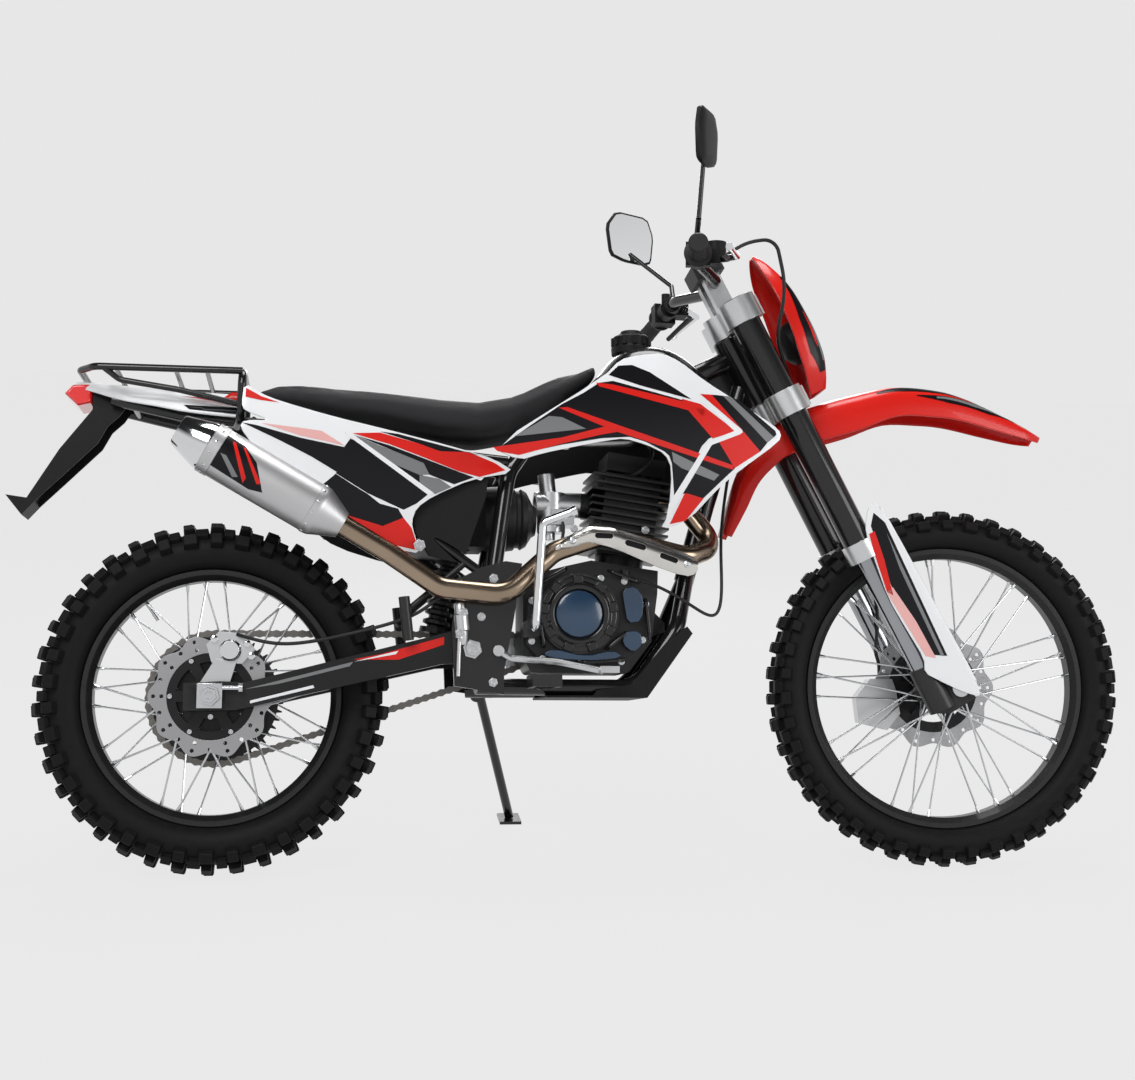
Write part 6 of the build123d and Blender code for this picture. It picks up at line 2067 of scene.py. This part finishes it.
@dataclass
class Levers:
    """The bright levers, their clamps and the reservoir on the bars."""

    # X ahead of the bar, Y on the left side and Z above the bar
    root: Point3 = (-22, 214, 2)
    bend: Point3 = (8, 262, -2)
    tip: Point3 = (-26, 392, -18)
    clamp: Point3 = (-52, 196, 8)
    # radius at the root, at the bend and at the tip
    radii: Tuple[float, float, float] = (6.5, 6.0, 4.6)
    ball: Outline = ((-6, 0), (-6, 7), (6, 7), (6, 0))
    clamp_profile: Outline = ((-14, 0), (-14, 15), (-12, 17), (12, 17), (14, 15), (14, 0))
    # X ahead of the bar, Y, and Z of the tank and of its lid above the bar
    tank: Tuple[float, float, float, float] = (-44, -150, 34, 47)

    def make(self) -> None:
        """Make the pieces on both sides of the bars."""
        bright, dark = Shape(), Shape()
        bar = fork(*BAR, 0)
        for side in Side:
            root, bend, tip, clamp = (Vector((bar.x + x, side * y, bar.z + z))
                                      for x, y, z in (self.root, self.bend, self.tip, self.clamp))
            for a, b, first, last in ((root, bend, *self.radii[:2]), (bend, tip, *self.radii[1:])):
                bright.lathe([(0, 0), (0, first), ((b - a).length, last), ((b - a).length + 3, 0)], a,
                             b - a, 14)
            bright.lathe(self.ball, tip, tip - bend, 14)
            dark.lathe(self.clamp_profile, clamp, Vector((0.2, side, 0)), 24)
        bright.build("levers", Body.STEERING, CHROME)
        dark.build("lever_clamps", Body.STEERING, BLACK_PLASTIC_AND_SHADE)
        ahead, y, middle, top = self.tank
        tank, lid = Shape(), Shape()
        tank.box(Vector((bar.x + ahead, y, bar.z + middle)), Vector((17, -5, 0)), Vector((6, 24, 0)),
                 UP * 11, 0.92)
        reservoir = tank.build("brake_reservoir", Body.STEERING, YELLOW_TANK)
        bevel(reservoir, 3.0, 3)
        lid.box(Vector((bar.x + ahead, y, bar.z + top)), Vector((19, -6, 0)), Vector((7, 26, 0)), UP * 3,
                0.95)
        cover = lid.build("reservoir_lid", Body.STEERING, BLACK_PLASTIC_AND_SHADE)
        bevel(cover, 2.0, 2)


@dataclass
class Swingarm:
    """The swingarm's printed bands."""

    face_y: float = -107.0
    stripe_lift: float = 0.2
    order_lift: float = 0.12
    # finish, order, X and Z of each band on the arm's outer face
    bands: Stripes = (
        (RED_PLASTIC, 1, ((250, 392), (300, 402), (412, 434), (412, 420), (330, 392))),
        (WHITE_PLASTIC, 2, ((252, 388), (262, 391), (330, 408), (326, 402))),
        (GREY_PLASTIC, 1, ((60, 338), (190, 372), (250, 388), (244, 380), (120, 348))),
        (WHITE_PLASTIC, 1, ((70, 318), (180, 346), (182, 341), (70, 313))))

    def make(self) -> None:
        """Lay the bands on both arms."""
        for side in Side:
            for index, (finish, order, points) in enumerate(self.bands):
                lay_stripe(f"swingarm_band_{side.label}_{index}", Body.CHASSIS, finish,
                           points,
                           lambda x, z: self.face_y, side, self.stripe_lift + self.order_lift * order)


@dataclass
class Studio:
    """The pale floor and backdrop, the soft lights and the photograph's camera."""

    # The photograph's width and the camera that was fitted to its two wheels
    photo_width: int = 1135
    focal_pixels: float = 1686.0
    camera_place: Point3 = (181.6, -3148.4, 238.7)
    camera_yaw: float = 8.52
    camera_pitch: float = 6.96
    sensor: float = 36.0
    floor_size: float = 30.0
    floor_colour: Colour = (0.60, 0.60, 0.60)
    floor_roughness: float = 0.9
    # what the camera and gloss see of the floor, and how much of it hides the shadows
    floor_glow: Colour = (0.83, 0.83, 0.83)
    glow_share: float = 0.94
    backdrop: Colour = (0.80, 0.80, 0.80)
    ceiling: Colour = (0.02, 0.02, 0.02)
    # heights between which the backdrop turns into the ceiling, as shares
    ceiling_rise: Point2 = (0.30, 0.62)
    world_light: float = 0.34
    aim: Point3 = (0.0, 0.0, 0.6)
    # name, place, size and power of each light
    lights: Sequence[Tuple] = (("key", (-1.6, -2.6, 3.4), 1.8, 80), ("fill", (2.6, -2.4, 1.6), 1.6, 34),
                               ("top", (0.2, 0.6, 3.6), 1.6, 60), ("back", (0.6, 3.2, 2.0), 1.6, 45))

    def make_camera(self) -> None:
        """The fitted camera, carried from the bike's frame by its lean."""
        yaw, pitch = math.radians(self.camera_yaw), math.radians(self.camera_pitch)
        look = Vector((math.sin(yaw) * math.cos(pitch), math.cos(yaw) * math.cos(pitch), math.sin(pitch)))
        right = Vector((math.cos(yaw), -math.sin(yaw), 0))
        turned = BIKE.matrix(Body.CHASSIS).to_3x3().normalized()
        axes = Matrix((turned @ right, turned @ right.cross(look), turned @ -look)).transposed()
        camera = bpy.data.cameras.new("camera")
        camera.sensor_fit = "HORIZONTAL"
        camera.sensor_width = self.sensor
        camera.lens = self.sensor * self.focal_pixels / self.photo_width
        camera.clip_end = 60
        holder = link_object("camera", camera)
        place = BIKE.matrix(Body.CHASSIS) @ Vector(self.camera_place)
        holder.matrix_world = Matrix.Translation(place) @ axes.to_4x4()
        bpy.context.scene.camera = holder

    def make_floor(self) -> None:
        """A wide floor that looks like the backdrop, but still takes soft shadows."""
        mesh = bpy.data.meshes.new("floor")
        size = self.floor_size
        mesh.from_pydata([(-size, -size, 0), (size, -size, 0), (size, size, 0), (-size, size, 0)], [],
                         [(0, 1, 2, 3)])
        material = bpy.data.materials.new("floor_paint")
        material.use_nodes = True
        graph = Graph(material.node_tree)
        shader = graph.feed(material.node_tree.nodes["Principled BSDF"], {
            "Base Color": (*self.floor_colour, 1), "Roughness": self.floor_roughness,
            "Specular IOR Level": 0.0})
        glow = graph.add("Emission", Color=(*self.floor_glow, 1), Strength=1.0)
        share = graph.calculate("MULTIPLY", self.seen_directly(graph), self.glow_share)
        graph.feed(material.node_tree.nodes["Material Output"],
                   {"Surface": graph.mix_shaders(shader, glow, share)})
        mesh.materials.append(material)
        link_object("floor", mesh)

    @staticmethod
    def seen_directly(graph: Graph) -> bpy.types.NodeSocket:
        """A mask of the rays that the camera, gloss or glass sends.

        Args:
            graph: the tree that it is made in.

        Returns:
            The mask.
        """
        path = graph.add("LightPath").outputs
        either = graph.calculate("MAXIMUM", path["Is Camera Ray"], path["Is Glossy Ray"])
        return graph.calculate("MAXIMUM", either, path["Is Transmission Ray"])

    def make_world(self) -> None:
        """A pale surround with a dark ceiling for the camera and gloss, and a dimmer one that lights."""
        world = bpy.data.worlds.new("surround")
        world.use_nodes = True
        graph = Graph(world.node_tree)
        light = graph.feed(world.node_tree.nodes["Background"], {
            "Color": (1.0, 1.0, 1.0, 1), "Strength": self.world_light})
        split = graph.feed(graph.add("SeparateXYZ"), {0: graph.add("TexCoord").outputs["Generated"]})
        low, high = self.ceiling_rise
        height = graph.add("MapRange", Value=split.outputs["Z"], From_Min=low, From_Max=high)
        colour = graph.mix((*self.backdrop, 1), (*self.ceiling, 1), height.outputs["Result"])
        shown = graph.add("Background", Color=colour)
        surface = graph.mix_shaders(light, shown, self.seen_directly(graph))
        graph.feed(world.node_tree.nodes["World Output"], {"Surface": surface})
        bpy.context.scene.world = world

    def make_light(self, name: str, place: Point3, size: float, power: float) -> None:
        """A soft square light that looks at the bike's middle.

        Args:
            name: its name.
            place: where it hangs, in metres.
            size: its side, in metres.
            power: its power, in watts.
        """
        light = bpy.data.lights.new(name, "AREA")
        light.size = size
        light.energy = power
        holder = link_object(name, light)
        holder.location = place
        holder.rotation_euler = (Vector(self.aim) - Vector(place)).to_track_quat("-Z", "Y").to_euler()

    def make(self) -> None:
        """Set up the whole studio."""
        self.make_camera()
        self.make_floor()
        self.make_world()
        for light in self.lights:
            self.make_light(*light)
        bpy.context.scene.view_settings.view_transform = "Standard"


def main() -> None:
    """Build the looks in order."""
    for builder in (Studio(), REAR_WHEEL, FRONT_WHEEL, Bodywork(), Cockpit(), ForkGuards(), Exhaust(),
                    Powertrain(), RearBrake(), Levers(), Swingarm()):
        builder.make()
        log.info("made %s", type(builder).__name__)
    made = FINISHES.made.values()
    for name, node in frame["nodes"].items():
        if not node.hide_render and not any(slot.material in made for slot in node.material_slots):
            log.warning("still bare: %s", name)


if __name__ == "__main__":
    main()
